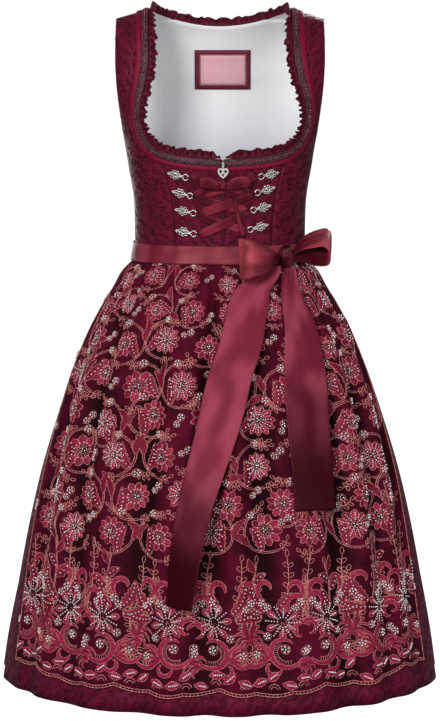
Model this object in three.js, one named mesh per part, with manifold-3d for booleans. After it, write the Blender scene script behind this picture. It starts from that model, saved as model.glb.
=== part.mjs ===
// A dirndl with its lace apron, in the hollow form it has when worn.
// Millimetres, +Z up. The front faces -Y and the wearer's left side is +X.
// The origin lies midway between the two shoulder seams, level with the undersides of the straps.

import * as THREE from 'three';
import { mergeVertices } from 'three/addons/utils/BufferGeometryUtils.js';
import Module from 'manifold-3d';

// Heights, all measured down from the top of the shoulder seam
const SHOULDER_TOP = 3; // height of the seam's outer face above the origin
const ARCH = 95; // the straps bend over the shoulder within this height
const ARMHOLE_BOTTOM = 206;
const BACK_NECK = 24;
const BODICE_BOTTOM = 365.5;
const SKIRT_TOP = 366;
const SKIRT_HEM = 1007;
const RIBBON_TOP = 348;
const RIBBON_BOTTOM = 375;
const LINING_BOTTOM = 352;

// Cloth walls and the gaps between pieces
const BODICE_WALL = 1.6;
const SKIRT_WALL = 1.4;
const APRON_WALL = 1.2;
const RIBBON_WALL = 1.2;
const LINING_WALL = 1.2;
const SEAM_GAP = 0.3;
const LINING_INSET = 0.985; // share of the way to the armhole's edge that the lining covers
const LAY_GAP = 0.8; // between a panel and what lies on it, so that facets of both stay clear

// Places across the bodice
const NECK_POINT = 105; // half the distance between the straps' inner edges at the shoulder
const CENTRE_SHIFT = 4.5; // the closing lies this far to the wearer's left
const SHIFT_HEIGHT = 150;
const SHOULDER_SLOPE = 0.29;
const SLOPE_FADE = 150;
const ARCH_FRONT = 80;
const ARCH_BACK = 86;
const ARMHOLE_FRONT = 50;
const ARMHOLE_BACK = 53;
const ZIP_HALF = 1.4;
const TRIM_END = 4.2; // the neck trims stop this far from the closing, beside the slider

// Horizontal sections of the bodice's outer face: half width, depths and the squareness of the oval
const BODICE_SECTIONS = [
  { h: 0, half: 166.5, front: 80, back: 86, power: 3.2 },
  { h: 95, half: 167.5, front: 80, back: 86, power: 3.2 },
  { h: 120, half: 163.4, front: 89, back: 91, power: 3.0 },
  { h: 150, half: 156.3, front: 99, back: 94, power: 2.8 },
  { h: 175, half: 149.8, front: 107, back: 95, power: 2.7 },
  { h: 204, half: 142.5, front: 115, back: 94, power: 2.6 },
  { h: 233, half: 138, front: 118, back: 92, power: 2.5 },
  { h: 278, half: 130.6, front: 110, back: 91, power: 2.4 },
  { h: 324, half: 128.6, front: 101.5, back: 94, power: 2.3 },
  { h: 358, half: 128.8, front: 98.5, back: 98, power: 2.25 },
  { h: 400, half: 129, front: 98.5, back: 98.5, power: 2.2 },
];

// Horizontal sections of the skirt's outer face on the crests of its folds
const SKIRT_SECTIONS = [
  { h: 366, half: 130, front: 99.7, back: 99.7, power: 2.25 },
  { h: 375, half: 131.2, front: 101, back: 101, power: 2.2 },
  { h: 392, half: 147, front: 112, back: 116, power: 2.2 },
  { h: 415, half: 160, front: 123, back: 129, power: 2.15 },
  { h: 438, half: 174.5, front: 135, back: 142, power: 2.15 },
  { h: 483, half: 199, front: 157, back: 164, power: 2.1 },
  { h: 553, half: 229, front: 186, back: 193, power: 2.1 },
  { h: 668, half: 266.5, front: 222, back: 229, power: 2.1 },
  { h: 762, half: 290.5, front: 247, back: 253, power: 2.1 },
  { h: 856, half: 311, front: 267, back: 273, power: 2.1 },
  { h: 950, half: 329, front: 283, back: 289, power: 2.1 },
  { h: 1007, half: 337.5, front: 291, back: 297, power: 2.1 },
];

// Front neckline from the shoulder down to the princess seam: half width at each height
const NECK_SIDE = [
  { h: 0, x: 105 },
  { h: 40, x: 105.5 },
  { h: 76, x: 107 },
  { h: 105, x: 112 },
  { h: 127, x: 118 },
  { h: 149, x: 121.6 },
  { h: 167, x: 121 },
  { h: 184, x: 116 },
  { h: 198, x: 106 },
  { h: 206, x: 95 },
];

// Front neckline from the closing out to the princess seam: height at each half width
const NECK_FRONT = [
  { x: 0, h: 220 },
  { x: 30, h: 218 },
  { x: 62, h: 215 },
  { x: 84, h: 210 },
  { x: 95, h: 206 },
];

// Princess seams: half width at each height
const FRONT_SEAM = [
  { h: 206, x: 95 },
  { h: 240, x: 86 },
  { h: 275, x: 77.5 },
  { h: 310, x: 73.5 },
  { h: 365.5, x: 71 },
];
const BACK_SEAM = [
  { h: 13.3, x: 70 },
  { h: 100, x: 62 },
  { h: 200, x: 52 },
  { h: 365.5, x: 42 },
];

// Main folds of the skirt: place round the cloth and half width in degrees, depth at the hem,
// and the height where the fold begins
const FOLDS = [
  { at: -72, width: 8, depth: 12, from: 430 },
  { at: -52, width: 9, depth: 15, from: 400 },
  { at: -26, width: 9, depth: 20, from: 395 },
  { at: -4, width: 8, depth: 24, from: 390 },
  { at: 14, width: 8, depth: 21, from: 380 },
  { at: 42, width: 10, depth: 25, from: 400 },
  { at: 61, width: 8, depth: 16, from: 450 },
  { at: 77, width: 7, depth: 11, from: 480 },
  { at: 99, width: 8, depth: 18, from: 420 },
  { at: 117, width: 9, depth: 24, from: 395 },
  { at: 136, width: 9, depth: 20, from: 430 },
  { at: 153, width: 8, depth: 25, from: 390 },
  { at: 171, width: 9, depth: 22, from: 400 },
  { at: 190, width: 8, depth: 18, from: 440 },
  { at: 207, width: 9, depth: 26, from: 390 },
  { at: 226, width: 9, depth: 21, from: 410 },
  { at: 244, width: 8, depth: 23, from: 395 },
  { at: 261, width: 8, depth: 17, from: 430 },
];

// Depth of the small gathers that the waist seam makes
const GATHERS = [
  { h: 366, depth: 1.2 },
  { h: 375, depth: 2.2 },
  { h: 395, depth: 5.5 },
  { h: 430, depth: 6 },
  { h: 480, depth: 3.5 },
  { h: 550, depth: 0 },
  { h: 1007, depth: 0 },
];

// The folds are deepest at this height and keep this share of their depth at the hem
const FOLD_DEEPEST = 620;
const FOLD_AT_HEM = 0.45;

const SKIRT_ROWS = [SKIRT_TOP, 375, 393, 425, 475, 545, 640, 750, 870, SKIRT_HEM];
const LINE_STEP = 3.75; // degrees of cloth between two columns of the skirt
const APRON_REACH = 82.5; // the apron ends at this line of the skirt's cloth on each side
const APRON_NARROWING = 0.2; // share of its angle that the apron loses from waist to hem
const NARROWING_TOP = 420; // above this height the apron's edges follow the skirt
const APRON_HEM = 972;
const APRON_HEM_RISE = 14;
const LARGE_SCALLOP = { width: 33.75, depth: 8 };
const SMALL_SCALLOP = { width: 11.25, depth: 3.5 };

// Neck frill, braid and ribbon
const FRILL = { waves: 98, height: 10, root: 1.1, wall: 1.1, swing: 2.5, taper: 12, leastShare: 0.2 };
const FRILL_LEAN = { behind: 45, front: 12, over: 60 }; // degrees, and the height it turns over
const TRIM_NARROWING = { from: 150, over: 60 }; // heights where the front trims narrow
const BRAID = { from: 0.8, to: 11.4, columns: 66, wall: 1.3 };
const NECK_RIBBON = { from: 11.9, to: 20.4, narrow: 2.4, columns: 66, wall: 1.1 };

// Hook plates: centre of each plate, and the turn of its loop below the level
const HOOKS = [
  { name: 'hook_left_1', x: -59.1, h: 244, turn: 10 },
  { name: 'hook_left_2', x: -52.6, h: 271, turn: 10 },
  { name: 'hook_left_3', x: -48.2, h: 297, turn: 8 },
  { name: 'hook_left_4', x: -47.6, h: 328, turn: 8 },
  { name: 'hook_right_1', x: 68.6, h: 243, turn: 8 },
  { name: 'hook_right_2', x: 63.5, h: 266, turn: 12 },
  { name: 'hook_right_3', x: 57.7, h: 292, turn: 10 },
  { name: 'hook_right_4', x: 53.4, h: 321, turn: 12 },
];
const HOOK = { middle: 6.2, wall: 1.5, lift: 0.62 };
const HOOK_FLOWER = { radius: 5.2, lobe: 0.9, petals: 6, stretch: 1.45, from: 40, points: 17 };
const HOOK_LOOP = { reach: 17, radius: 4.2, eye: 2.2, neck: 1.2, from: -130, points: 6 };

// Lacing: each strip runs from a loop on one side to a loop on the other, at its own height off the cloth
const LACES = [
  { name: 'lace_under_1', from: { x: -42, h: 246.5 }, to: { x: 46.5, h: 269 }, lift: 0.8 },
  { name: 'lace_over_1', from: { x: 51.5, h: 246 }, to: { x: -35.5, h: 274 }, lift: 2.4 },
  { name: 'lace_under_2', from: { x: -35.5, h: 277 }, to: { x: 40.5, h: 295 }, lift: 0.8 },
  { name: 'lace_over_2', from: { x: 46.5, h: 271 }, to: { x: -31, h: 300 }, lift: 2.4 },
  { name: 'lace_under_3', from: { x: -31, h: 303 }, to: { x: 36, h: 324 }, lift: 0.8 },
  { name: 'lace_over_3', from: { x: 40.5, h: 297 }, to: { x: -30.5, h: 331 }, lift: 2.4 },
];
const LACE = { width: 13, wall: 1.0, columns: 7 };

// Ends of the lacing: centre line, width and lift off the cloth
const LACE_LOOP_LEFT = [
  { x: -2, h: 259, width: 5, lift: 7.6 },
  { x: -9, h: 255, width: 9, lift: 8.6 },
  { x: -19, h: 253, width: 12, lift: 8.2 },
  { x: -28, h: 254, width: 12, lift: 5.4 },
];
const LACE_LOOP_RIGHT = [
  { x: 9, h: 259, width: 5, lift: 7.6 },
  { x: 18, h: 254.5, width: 10, lift: 8.8 },
  { x: 31, h: 252, width: 12, lift: 8.4 },
  { x: 43, h: 253, width: 12, lift: 5.4 },
];
const LACE_TAIL_LEFT = [
  { x: -2, h: 262, width: 5, lift: 5.2 },
  { x: -13, h: 262, width: 8, lift: 4.2 },
  { x: -25, h: 265, width: 9, lift: 4.2 },
  { x: -36, h: 271, width: 10, lift: 4.2 },
];
const LACE_TAIL_RIGHT = [
  { x: 9, h: 262, width: 4, lift: 5.2 },
  { x: 18, h: 268, width: 5, lift: 4.4 },
  { x: 23, h: 290, width: 5, lift: 4.2 },
  { x: 28, h: 312, width: 5, lift: 4.2 },
  { x: 34, h: 334, width: 6, lift: 4.2 },
];
const LACE_END_COLUMNS = 6;
const LONG_LACE_END_COLUMNS = 9;
const LACE_KNOT = { x: 3.5, h: 260, width: 8, height: 7, lift: 4.0, wall: 5.5 };

// Zip slider and its heart-shaped pull
const ZIP = { top: 221, wall: 1.2, half: 1.05 };
const SLIDER = { h: 227, width: 6.4, height: 9, wall: 3, lift: 0.8, corner: 1.6 };
const BAIL = { lift: 6.4, radius: 0.8, half: 2.6, ear: 1.1, earHeight: 3.4, earBack: 1.4, h: 226 };
const PIN_SIDES = 10;
const PULL = { eye: 1.9, hole: 1.25, link: 8.5, linkWidth: 2.2, heart: 16, wall: 1.6 };

// Label inside the back: a border piece and the bare field on it
const LABEL = { left: -39, right: 47, top: 59, bottom: 120, wall: 1.0 };
const LABEL_ROWS = [0, 0.2, 0.6, 1];
const LABEL_COLUMNS = 5;
const LABEL_FIELD = { left: -30, right: 39, top: 67, bottom: 112, wall: 1.0 };

// Waist ribbon and its bow
const RIBBON_LIFT = { top: 1.4, bottom: 5.4 };
const RIBBON_COLUMNS = 22;
const BOW_KNOT = { x: 90, h: 363, lift: 14.2, width: 22, height: 30, depth: 17, around: 14, rows: 8 };

// Left loop of the bow: upper and lower edge of the ribbon, from the knot out and back
const BOW_LEFT = [
  { upper: [88, -92.4, -356], lower: [87.6, -92.4, -365] },
  { upper: [66, -101, -344], lower: [66, -104, -372] },
  { upper: [44, -113, -335], lower: [47, -122, -384] },
  { upper: [30, -121, -332], lower: [34, -129, -390] },
  { upper: [27, -131, -332], lower: [31, -137, -391] },
  { upper: [41, -139, -331], lower: [45, -143, -389] },
  { upper: [63, -129, -343], lower: [66, -131, -384] },
  { upper: [87.4, -96.6, -356], lower: [87.4, -97, -367] },
];

// Right loop of the bow: near and far edge of the ribbon, from the knot over the top and back
const BOW_RIGHT = [
  { upper: [108.6, -79, -352], lower: [108.6, -86, -358] },
  { upper: [124, -66, -334], lower: [122, -104, -350] },
  { upper: [142, -60, -325], lower: [138, -110, -346] },
  { upper: [161, -62, -322], lower: [152, -112, -345] },
  { upper: [165.5, -66, -331], lower: [161, -113, -354] },
  { upper: [163, -68, -341], lower: [160, -112, -371] },
  { upper: [150, -66, -337], lower: [143, -109, -374] },
  { upper: [136, -60, -340], lower: [127, -104, -370] },
  { upper: [109, -79, -362], lower: [108.8, -85, -367] },
];
const BOW = { steps: 24, across: 4, wall: 1.2 };

// Tails of the bow: horizontal sections of the ribbon on the skirt's outline
const TAIL_LEFT = [
  { h: 377, x: 77, width: 16, left: 8, right: 7 },
  { h: 390, x: 64, width: 40, left: 6.5, right: 6 },
  { h: 412, x: 46, width: 52, left: 5, right: 5 },
  { h: 486, x: 29.7, width: 62, left: 3, right: 3 },
  { h: 534, x: 13.6, width: 64, left: 2.8, right: 2.8 },
  { h: 590, x: 0.4, width: 63, left: 2.8, right: 2.8 },
  { h: 732, x: -40, width: 48, left: 2.8, right: 20 },
  { h: 850, x: -57, width: 40, left: 2.8, right: 30 },
];
const TAIL_RIGHT = [
  { h: 379, x: 98, width: 12, left: 8, right: 8 },
  { h: 410, x: 101, width: 26, left: 3, right: 4 },
  { h: 468, x: 116, width: 47, left: 2.8, right: 3.5 },
  { h: 537, x: 122.5, width: 59, left: 2.8, right: 3 },
  { h: 593, x: 125, width: 60, left: 2.8, right: 3 },
  { h: 721, x: 136, width: 58, left: 2.8, right: 6 },
];
const TAIL = { rows: 14, across: 4, wall: 1.2 };

// Heights of the rows of the bodice walls, and their columns
const LOWER_ROWS = [232, 275, 318, BODICE_BOTTOM];
const UPPER_ROWS = [28, 47.5, 70, ARCH, 128, 160, 182, 196, ARMHOLE_BOTTOM];
const SIDE_ROWS = [0, 4.6, 13.3, ...UPPER_ROWS, ...LOWER_ROWS];
const BACK_ROWS = [null, ...UPPER_ROWS, ...LOWER_ROWS];
const SIDE_COLUMNS = 4;
const BACK_COLUMNS = 8;
const FRONT_COLUMNS = 6;

const NECK_STEPS = { closing: 24, side: 60, even: 200 };
const LINING_LIFT = -(BODICE_WALL + LAY_GAP);
const LABEL_LIFT = LINING_LIFT - LINING_WALL - 1.5 * LAY_GAP;

const RAD = Math.PI / 180;

const wasm = await Module();
wasm.setup();

// Smooth value of one column of a table at a place in another column
function lookup(table, key, column, place) {
  const last = table.length - 1;
  let i = 0;
  while (i < last - 1 && place > table[i + 1][key]) i += 1;
  const slope = (a, b) => (table[b][column] - table[a][column]) / (table[b][key] - table[a][key]);
  const span = table[i + 1][key] - table[i][key];
  const t = Math.min(Math.max((place - table[i][key]) / span, 0), 1);
  const startSlope = i > 0 ? slope(i - 1, i + 1) : slope(0, 1);
  const endSlope = i < last - 1 ? slope(i, i + 2) : slope(last - 1, last);
  const startShare = (2 * t - 3) * t * t + 1;
  const endShare = (3 - 2 * t) * t * t;
  const startPull = ((t - 2) * t + 1) * t;
  const endPull = (t - 1) * t * t;
  return startShare * table[i][column] + endShare * table[i + 1][column]
    + (startPull * startSlope + endPull * endSlope) * span;
}

function smooth(value) {
  const t = Math.min(Math.max(value, 0), 1);
  return t * t * (3 - 2 * t);
}

function mix(a, b, share) {
  return a + (b - a) * share;
}

// Length over the cloth down to a height, and back: the straps bend over a quarter circle
function girthAt(h) {
  return h < ARCH ? ARCH * Math.acos(1 - h / ARCH) : ARCH * Math.PI / 2 + h - ARCH;
}

function heightAt(girth) {
  const arch = ARCH * Math.PI / 2;
  return girth < arch ? ARCH * (1 - Math.cos(girth / ARCH)) : ARCH + girth - arch;
}

function bodiceSection(girth, behind) {
  const h = heightAt(girth);
  const bend = Math.min(girth / ARCH, Math.PI / 2);
  const depth = h < ARCH
    ? (behind ? ARCH_BACK : ARCH_FRONT) * Math.sin(bend)
    : lookup(BODICE_SECTIONS, 'h', behind ? 'back' : 'front', h);
  return {
    h,
    depth,
    half: lookup(BODICE_SECTIONS, 'h', 'half', h),
    power: lookup(BODICE_SECTIONS, 'h', 'power', h),
  };
}

// Point of a rounded oval at a turn from the centre line, as shares of its half width and depth
function ovalShares(turn, power) {
  const sine = Math.sin(turn);
  const cosine = Math.cos(turn);
  const reach = (Math.abs(sine) ** power + Math.abs(cosine) ** power) ** (-1 / power);
  return { across: sine * reach, along: cosine * reach };
}

function turnAtShare(across, power) {
  const share = Math.min(Math.abs(across), 1);
  return Math.atan2(share, (1 - share ** power) ** (1 / power)) * Math.sign(across);
}

function bodiceFace(turn, girth, behind) {
  const section = bodiceSection(girth, behind);
  const shares = ovalShares(turn, section.power);
  const x = section.half * shares.across;
  const y = section.depth * shares.along * (behind ? 1 : -1);
  const fade = Math.max(0, 1 - section.h / SLOPE_FADE) ** 2;
  const slope = SHOULDER_SLOPE * Math.max(0, Math.abs(x) - NECK_POINT) * fade;
  return new THREE.Vector3(x, y, SHOULDER_TOP - section.h - slope);
}

function bodiceSlopes(turn, girth, behind) {
  const step = 1e-3;
  const across = bodiceFace(turn + step, girth, behind)
    .sub(bodiceFace(turn - step, girth, behind)).divideScalar(2 * step);
  const down = bodiceFace(turn, girth + step, behind)
    .sub(bodiceFace(turn, girth, behind)).divideScalar(step);
  return { across, down };
}

function bodiceNormal(turn, girth, behind) {
  const { across, down } = bodiceSlopes(turn, girth, behind);
  const normal = new THREE.Vector3().crossVectors(down, across).normalize();
  return behind ? normal.negate() : normal;
}

// Point of the bodice's outer face moved out by a lift, or into the wall by a negative one
function bodicePoint(spot, lift) {
  const { turn, girth, behind } = spot;
  return bodiceFace(turn, girth, behind).addScaledVector(bodiceNormal(turn, girth, behind), lift);
}

function shiftAt(h) {
  return CENTRE_SHIFT * smooth(h / SHIFT_HEIGHT);
}

// Place on the bodice at a distance from the centre plane
function spotAt(x, h, behind = false) {
  const girth = girthAt(h);
  const section = bodiceSection(girth, behind);
  return { turn: turnAtShare(x / section.half, section.power), girth, behind };
}

// Turn of the armhole's edge or, below it, of the side seam
function armholeTurn(h, behind) {
  if (h >= ARMHOLE_BOTTOM) return Math.PI / 2;
  const safe = Math.max(h, 0.5);
  const section = bodiceSection(girthAt(safe), behind);
  const level = (safe - ARMHOLE_BOTTOM / 2) / (ARMHOLE_BOTTOM / 2);
  const depth = (behind ? ARMHOLE_BACK : ARMHOLE_FRONT) * Math.sqrt(Math.max(0, 1 - level * level));
  const along = Math.min(depth / section.depth, 1);
  return Math.atan2((1 - along ** section.power) ** (1 / section.power), along);
}

function frontEdgeX(h, side) {
  const x = h < FRONT_SEAM[0].h ? lookup(NECK_SIDE, 'h', 'x', h) : lookup(FRONT_SEAM, 'h', 'x', h);
  return side * x + shiftAt(h);
}

function backEdgeX(h) {
  if (h >= BACK_SEAM[0].h) return lookup(BACK_SEAM, 'h', 'x', h);
  return NECK_POINT * Math.sqrt(1 - h / BACK_NECK);
}

// Closed geometry from triangles, turned so that its faces point out
function closedGeometry(positions, faces) {
  let volume = 0;
  const point = (i) => new THREE.Vector3().fromArray(positions, 3 * i);
  for (let i = 0; i < faces.length; i += 3) {
    volume += point(faces[i]).dot(point(faces[i + 1]).cross(point(faces[i + 2])));
  }
  if (volume < 0) faces.reverse();
  const geometry = new THREE.BufferGeometry();
  geometry.setAttribute('position', new THREE.Float32BufferAttribute(positions, 3));
  geometry.setIndex(faces);
  return geometry;
}

// Wall between an outer and an inner grid of points, closed along its four edges
function wallGeometry(outer, inner) {
  const rows = outer.length - 1;
  const columns = outer[0].length - 1;
  const positions = [];
  for (const grid of [outer, inner]) {
    for (const row of grid) {
      for (const point of row) positions.push(point.x, point.y, point.z);
    }
  }
  const at = (side, r, c) => (side * (rows + 1) + r) * (columns + 1) + c;
  const faces = [];
  const quad = (a, b, c, d) => faces.push(a, b, c, a, c, d);
  for (let r = 0; r < rows; r += 1) {
    for (let c = 0; c < columns; c += 1) {
      quad(at(0, r, c), at(0, r + 1, c), at(0, r + 1, c + 1), at(0, r, c + 1));
      quad(at(1, r, c), at(1, r, c + 1), at(1, r + 1, c + 1), at(1, r + 1, c));
    }
    quad(at(0, r, 0), at(1, r, 0), at(1, r + 1, 0), at(0, r + 1, 0));
    quad(at(0, r, columns), at(0, r + 1, columns), at(1, r + 1, columns), at(1, r, columns));
  }
  for (let c = 0; c < columns; c += 1) {
    quad(at(0, 0, c), at(0, 0, c + 1), at(1, 0, c + 1), at(1, 0, c));
    quad(at(0, rows, c), at(1, rows, c), at(1, rows, c + 1), at(0, rows, c + 1));
  }
  return closedGeometry(positions, faces);
}

// Pulls the outermost points of a grid inwards by half a seam gap
function trimEdges(grid) {
  const pull = (point, towards) => {
    const step = towards.clone().sub(point).setLength(SEAM_GAP / 2);
    point.add(step);
  };
  const lastRow = grid.length - 1;
  const lastColumn = grid[0].length - 1;
  for (const row of grid) {
    pull(row[0], row[1]);
    pull(row[lastColumn], row[lastColumn - 1]);
  }
  for (let c = 0; c <= lastColumn; c += 1) {
    pull(grid[0][c], grid[1][c]);
    pull(grid[lastRow][c], grid[lastRow - 1][c]);
  }
  return grid;
}

// Panel of the bodice between two edges, with a row at each height share of its list
function bodiceWall(rows, columns, spotOf, outerLift, innerLift) {
  const layer = (lift) => trimEdges(rows.map((place) => {
    const row = [];
    for (let c = 0; c <= columns; c += 1) row.push(bodicePoint(spotOf(place, c / columns), lift));
    return row;
  }));
  return wallGeometry(layer(outerLift), layer(innerLift));
}


function sideFront(side) {
  return bodiceWall(SIDE_ROWS, SIDE_COLUMNS, (h, share) => {
    const inner = spotAt(frontEdgeX(h, side), h);
    const outer = side * armholeTurn(h, false);
    return { ...inner, turn: mix(inner.turn, outer, share) };
  }, 0, -BODICE_WALL);
}

function sideBackSpot(h, share, side) {
  const inner = spotAt(side * backEdgeX(h), h, true);
  const outer = side * armholeTurn(h, true);
  return { ...inner, turn: mix(inner.turn, outer, share) };
}

function sideBack(side) {
  return bodiceWall(SIDE_ROWS, SIDE_COLUMNS, (h, share) => {
    const reach = side < 0 ? 1 - share : share;
    return sideBackSpot(h, reach, side);
  }, 0, -BODICE_WALL);
}

function centreFront(side) {
  const rows = [ARMHOLE_BOTTOM, ...LOWER_ROWS];
  return bodiceWall(rows, FRONT_COLUMNS, (level, share) => {
    const top = lookup(NECK_FRONT, 'x', 'h', mix(ZIP_HALF, NECK_FRONT.at(-1).x, share));
    const drop = (level - ARMHOLE_BOTTOM) / (BODICE_BOTTOM - ARMHOLE_BOTTOM);
    const h = mix(top, BODICE_BOTTOM, drop);
    const seam = lookup(FRONT_SEAM, 'h', 'x', h);
    return spotAt(side * mix(ZIP_HALF, seam, share) + shiftAt(h), h);
  }, 0, -BODICE_WALL);
}

function centreBackSpot(level, reach) {
  const top = BACK_NECK * (1 - (reach * BACK_SEAM[0].x / NECK_POINT) ** 2);
  const h = level ?? top;
  return spotAt(reach * backEdgeX(Math.max(h, BACK_SEAM[0].h)), h, true);
}

function centreBack() {
  const spot = (level, share) => centreBackSpot(level, 2 * share - 1);
  return bodiceWall(BACK_ROWS, BACK_COLUMNS, spot, 0, -BODICE_WALL);
}

// The lining runs from armhole to armhole behind the three back panels, with their columns
function liningBack() {
  const rows = [null, ...UPPER_ROWS, ...LOWER_ROWS.slice(0, -1), LINING_BOTTOM];
  const columns = 2 * SIDE_COLUMNS + BACK_COLUMNS;
  return bodiceWall(rows, columns, (level, share) => {
    const column = Math.round(share * columns);
    const fromEdge = Math.min(column, columns - column);
    if (fromEdge < SIDE_COLUMNS) {
      const h = level ?? BACK_SEAM[0].h;
      return sideBackSpot(h, LINING_INSET * (1 - fromEdge / SIDE_COLUMNS), column === fromEdge ? -1 : 1);
    }
    return centreBackSpot(level, 2 * (column - SIDE_COLUMNS) / BACK_COLUMNS - 1);
  }, LINING_LIFT, LINING_LIFT - LINING_WALL);
}

function labelPiece(size, lift) {
  return bodiceWall(LABEL_ROWS, LABEL_COLUMNS, (drop, share) => {
    const x = mix(size.left, size.right, share);
    return spotAt(x, mix(size.top, size.bottom, drop), true);
  }, lift, lift - size.wall);
}

// Spots along the neckline, from the closing on one side over the shoulder, as three stretches
function neckStretches(start) {
  const stretch = (count, spotOf) => {
    const spots = [];
    for (let i = 0; i <= count; i += 1) spots.push(spotOf(i / count));
    return spots;
  };
  const front = (side) => {
    const corner = NECK_FRONT.at(-1);
    const along = stretch(NECK_STEPS.closing, (share) => {
      const x = mix(start, corner.x, share);
      const h = lookup(NECK_FRONT, 'x', 'h', x);
      return spotAt(side * x + shiftAt(h), h);
    });
    const up = stretch(NECK_STEPS.side, (share) => {
      const h = heightAt(mix(girthAt(corner.h), 0, share));
      return spotAt(frontEdgeX(Math.min(h, corner.h - 0.01), side), h);
    });
    return along.concat(up.slice(1));
  };
  const back = stretch(NECK_STEPS.side, (share) => {
    const x = NECK_POINT * Math.cos(Math.PI * share);
    return spotAt(x, BACK_NECK * (1 - (x / NECK_POINT) ** 2), true);
  });
  return [front(1), back, front(-1).reverse()];
}

// Evenly spaced spots of one stretch, by length over the cloth
function evenSpots(spots, count) {
  const points = spots.map((spot) => bodicePoint(spot, 0));
  const lengths = [0];
  for (let i = 1; i < points.length; i += 1) {
    lengths.push(lengths[i - 1] + points[i].distanceTo(points[i - 1]));
  }
  const even = [];
  let i = 0;
  for (let n = 0; n <= count; n += 1) {
    const target = lengths.at(-1) * n / count;
    while (i < spots.length - 2 && lengths[i + 1] < target) i += 1;
    const share = (target - lengths[i]) / (lengths[i + 1] - lengths[i]);
    even.push({
      turn: mix(spots[i].turn, spots[i + 1].turn, share),
      girth: mix(spots[i].girth, spots[i + 1].girth, share),
      behind: spots[i].behind,
    });
  }
  return { even, length: lengths.at(-1) };
}

// Columns along the whole neckline: spot, point, outward normal and the direction into the cloth
function neckColumns(count, start) {
  const stretches = neckStretches(start).map((spots) => evenSpots(spots, NECK_STEPS.even));
  const total = stretches.reduce((sum, stretch) => sum + stretch.length, 0);
  const spots = [];
  for (const [n, stretch] of stretches.entries()) {
    const share = Math.max(2, Math.round(count * stretch.length / total));
    const { even } = evenSpots(stretch.even, share);
    spots.push(...(n === 0 ? even : even.slice(1)));
  }
  const points = spots.map((spot) => bodicePoint(spot, 0));
  let length = 0;
  return spots.map((spot, i) => {
    const before = points[Math.max(i - 1, 0)];
    const after = points[Math.min(i + 1, points.length - 1)];
    if (i > 0) length += points[i].distanceTo(points[i - 1]);
    const along = after.clone().sub(before).normalize();
    const normal = bodiceNormal(spot.turn, spot.girth, spot.behind);
    const into = new THREE.Vector3().crossVectors(along, normal).normalize();
    return { spot, point: points[i], normal, into, length, total };
  });
}

// Walks over the cloth from a column of the neckline, in short steps
function walkIn(column, distance) {
  const steps = Math.max(1, Math.ceil(Math.abs(distance) / 3));
  const { behind } = column.spot;
  let { turn, girth } = column.spot;
  for (let i = 0; i < steps; i += 1) {
    const { across, down } = bodiceSlopes(turn, girth, behind);
    const wish = column.into.clone().multiplyScalar(distance / steps);
    const aa = across.dot(across);
    const ad = across.dot(down);
    const dd = down.dot(down);
    const wa = across.dot(wish);
    const wd = down.dot(wish);
    const scale = aa * dd - ad * ad;
    turn += (wa * dd - wd * ad) / scale;
    girth = Math.max(0, girth + (wd * aa - wa * ad) / scale);
  }
  return { turn, girth, behind };
}

function neckTrim(size, lift) {
  const columns = neckColumns(size.columns, TRIM_END);
  const layer = (height) => [0, 1].map((share) => columns.map((column) => {
    const below = heightAt(column.spot.girth) - TRIM_NARROWING.from;
    const inFront = column.spot.behind ? 0 : smooth(below / TRIM_NARROWING.over);
    const to = size.to - (size.narrow ?? 0) * inFront;
    return bodicePoint(walkIn(column, mix(size.from, to, share)), height);
  }));
  return wallGeometry(layer(lift + size.wall), layer(lift));
}

// The frill stands up from the neck's edge and swings in and out from column to column
function frillGeometry() {
  const columns = neckColumns(FRILL.waves * 2, TRIM_END);
  const outer = [[], []];
  const inner = [[], []];
  columns.forEach((column, i) => {
    const h = heightAt(column.spot.girth);
    const turned = column.spot.behind ? 0 : smooth(h / FRILL_LEAN.over);
    const lean = mix(FRILL_LEAN.behind, FRILL_LEAN.front, turned) * RAD;
    const rise = column.into.clone().multiplyScalar(-Math.cos(lean))
      .addScaledVector(column.normal, Math.sin(lean));
    const sway = column.normal.clone().multiplyScalar(Math.cos(lean))
      .addScaledVector(column.into, Math.sin(lean));
    const fromEnd = Math.min(column.length, columns.at(-1).length - column.length);
    const height = FRILL.height * Math.max(FRILL.leastShare, Math.min(1, fromEnd / FRILL.taper));
    const side = i % 2 === 0 ? 1 : -1;
    const swing = side * FRILL.swing * height / FRILL.height;
    const root = column.point.clone().addScaledVector(column.normal, -BODICE_WALL / 2)
      .addScaledVector(rise, FRILL.root);
    const tip = root.clone().addScaledVector(rise, height).addScaledVector(sway, swing);
    outer[0].push(root.clone().addScaledVector(sway, FRILL.wall / 2));
    inner[0].push(root.clone().addScaledVector(sway, -FRILL.wall / 2));
    outer[1].push(tip.clone().addScaledVector(sway, FRILL.wall / 2));
    inner[1].push(tip.clone().addScaledVector(sway, -FRILL.wall / 2));
  });
  return wallGeometry(outer, inner);
}

// Local frame on the front of the bodice: x across, y up the cloth, z out
function frontFrame(x, h, lift, turn = 0) {
  const spot = spotAt(x, h);
  const normal = bodiceNormal(spot.turn, spot.girth, false);
  const across = new THREE.Vector3(1, 0, 0).addScaledVector(normal, -normal.x).normalize();
  const up = new THREE.Vector3().crossVectors(normal, across);
  const frame = new THREE.Matrix4().makeBasis(across, up, normal).setPosition(bodicePoint(spot, lift));
  return frame.multiply(new THREE.Matrix4().makeRotationZ(turn));
}

// Plate cut from a flat shape
function extruded(shape, depth, curveSegments) {
  return new THREE.ExtrudeGeometry(shape, { depth, bevelEnabled: false, curveSegments });
}

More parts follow.
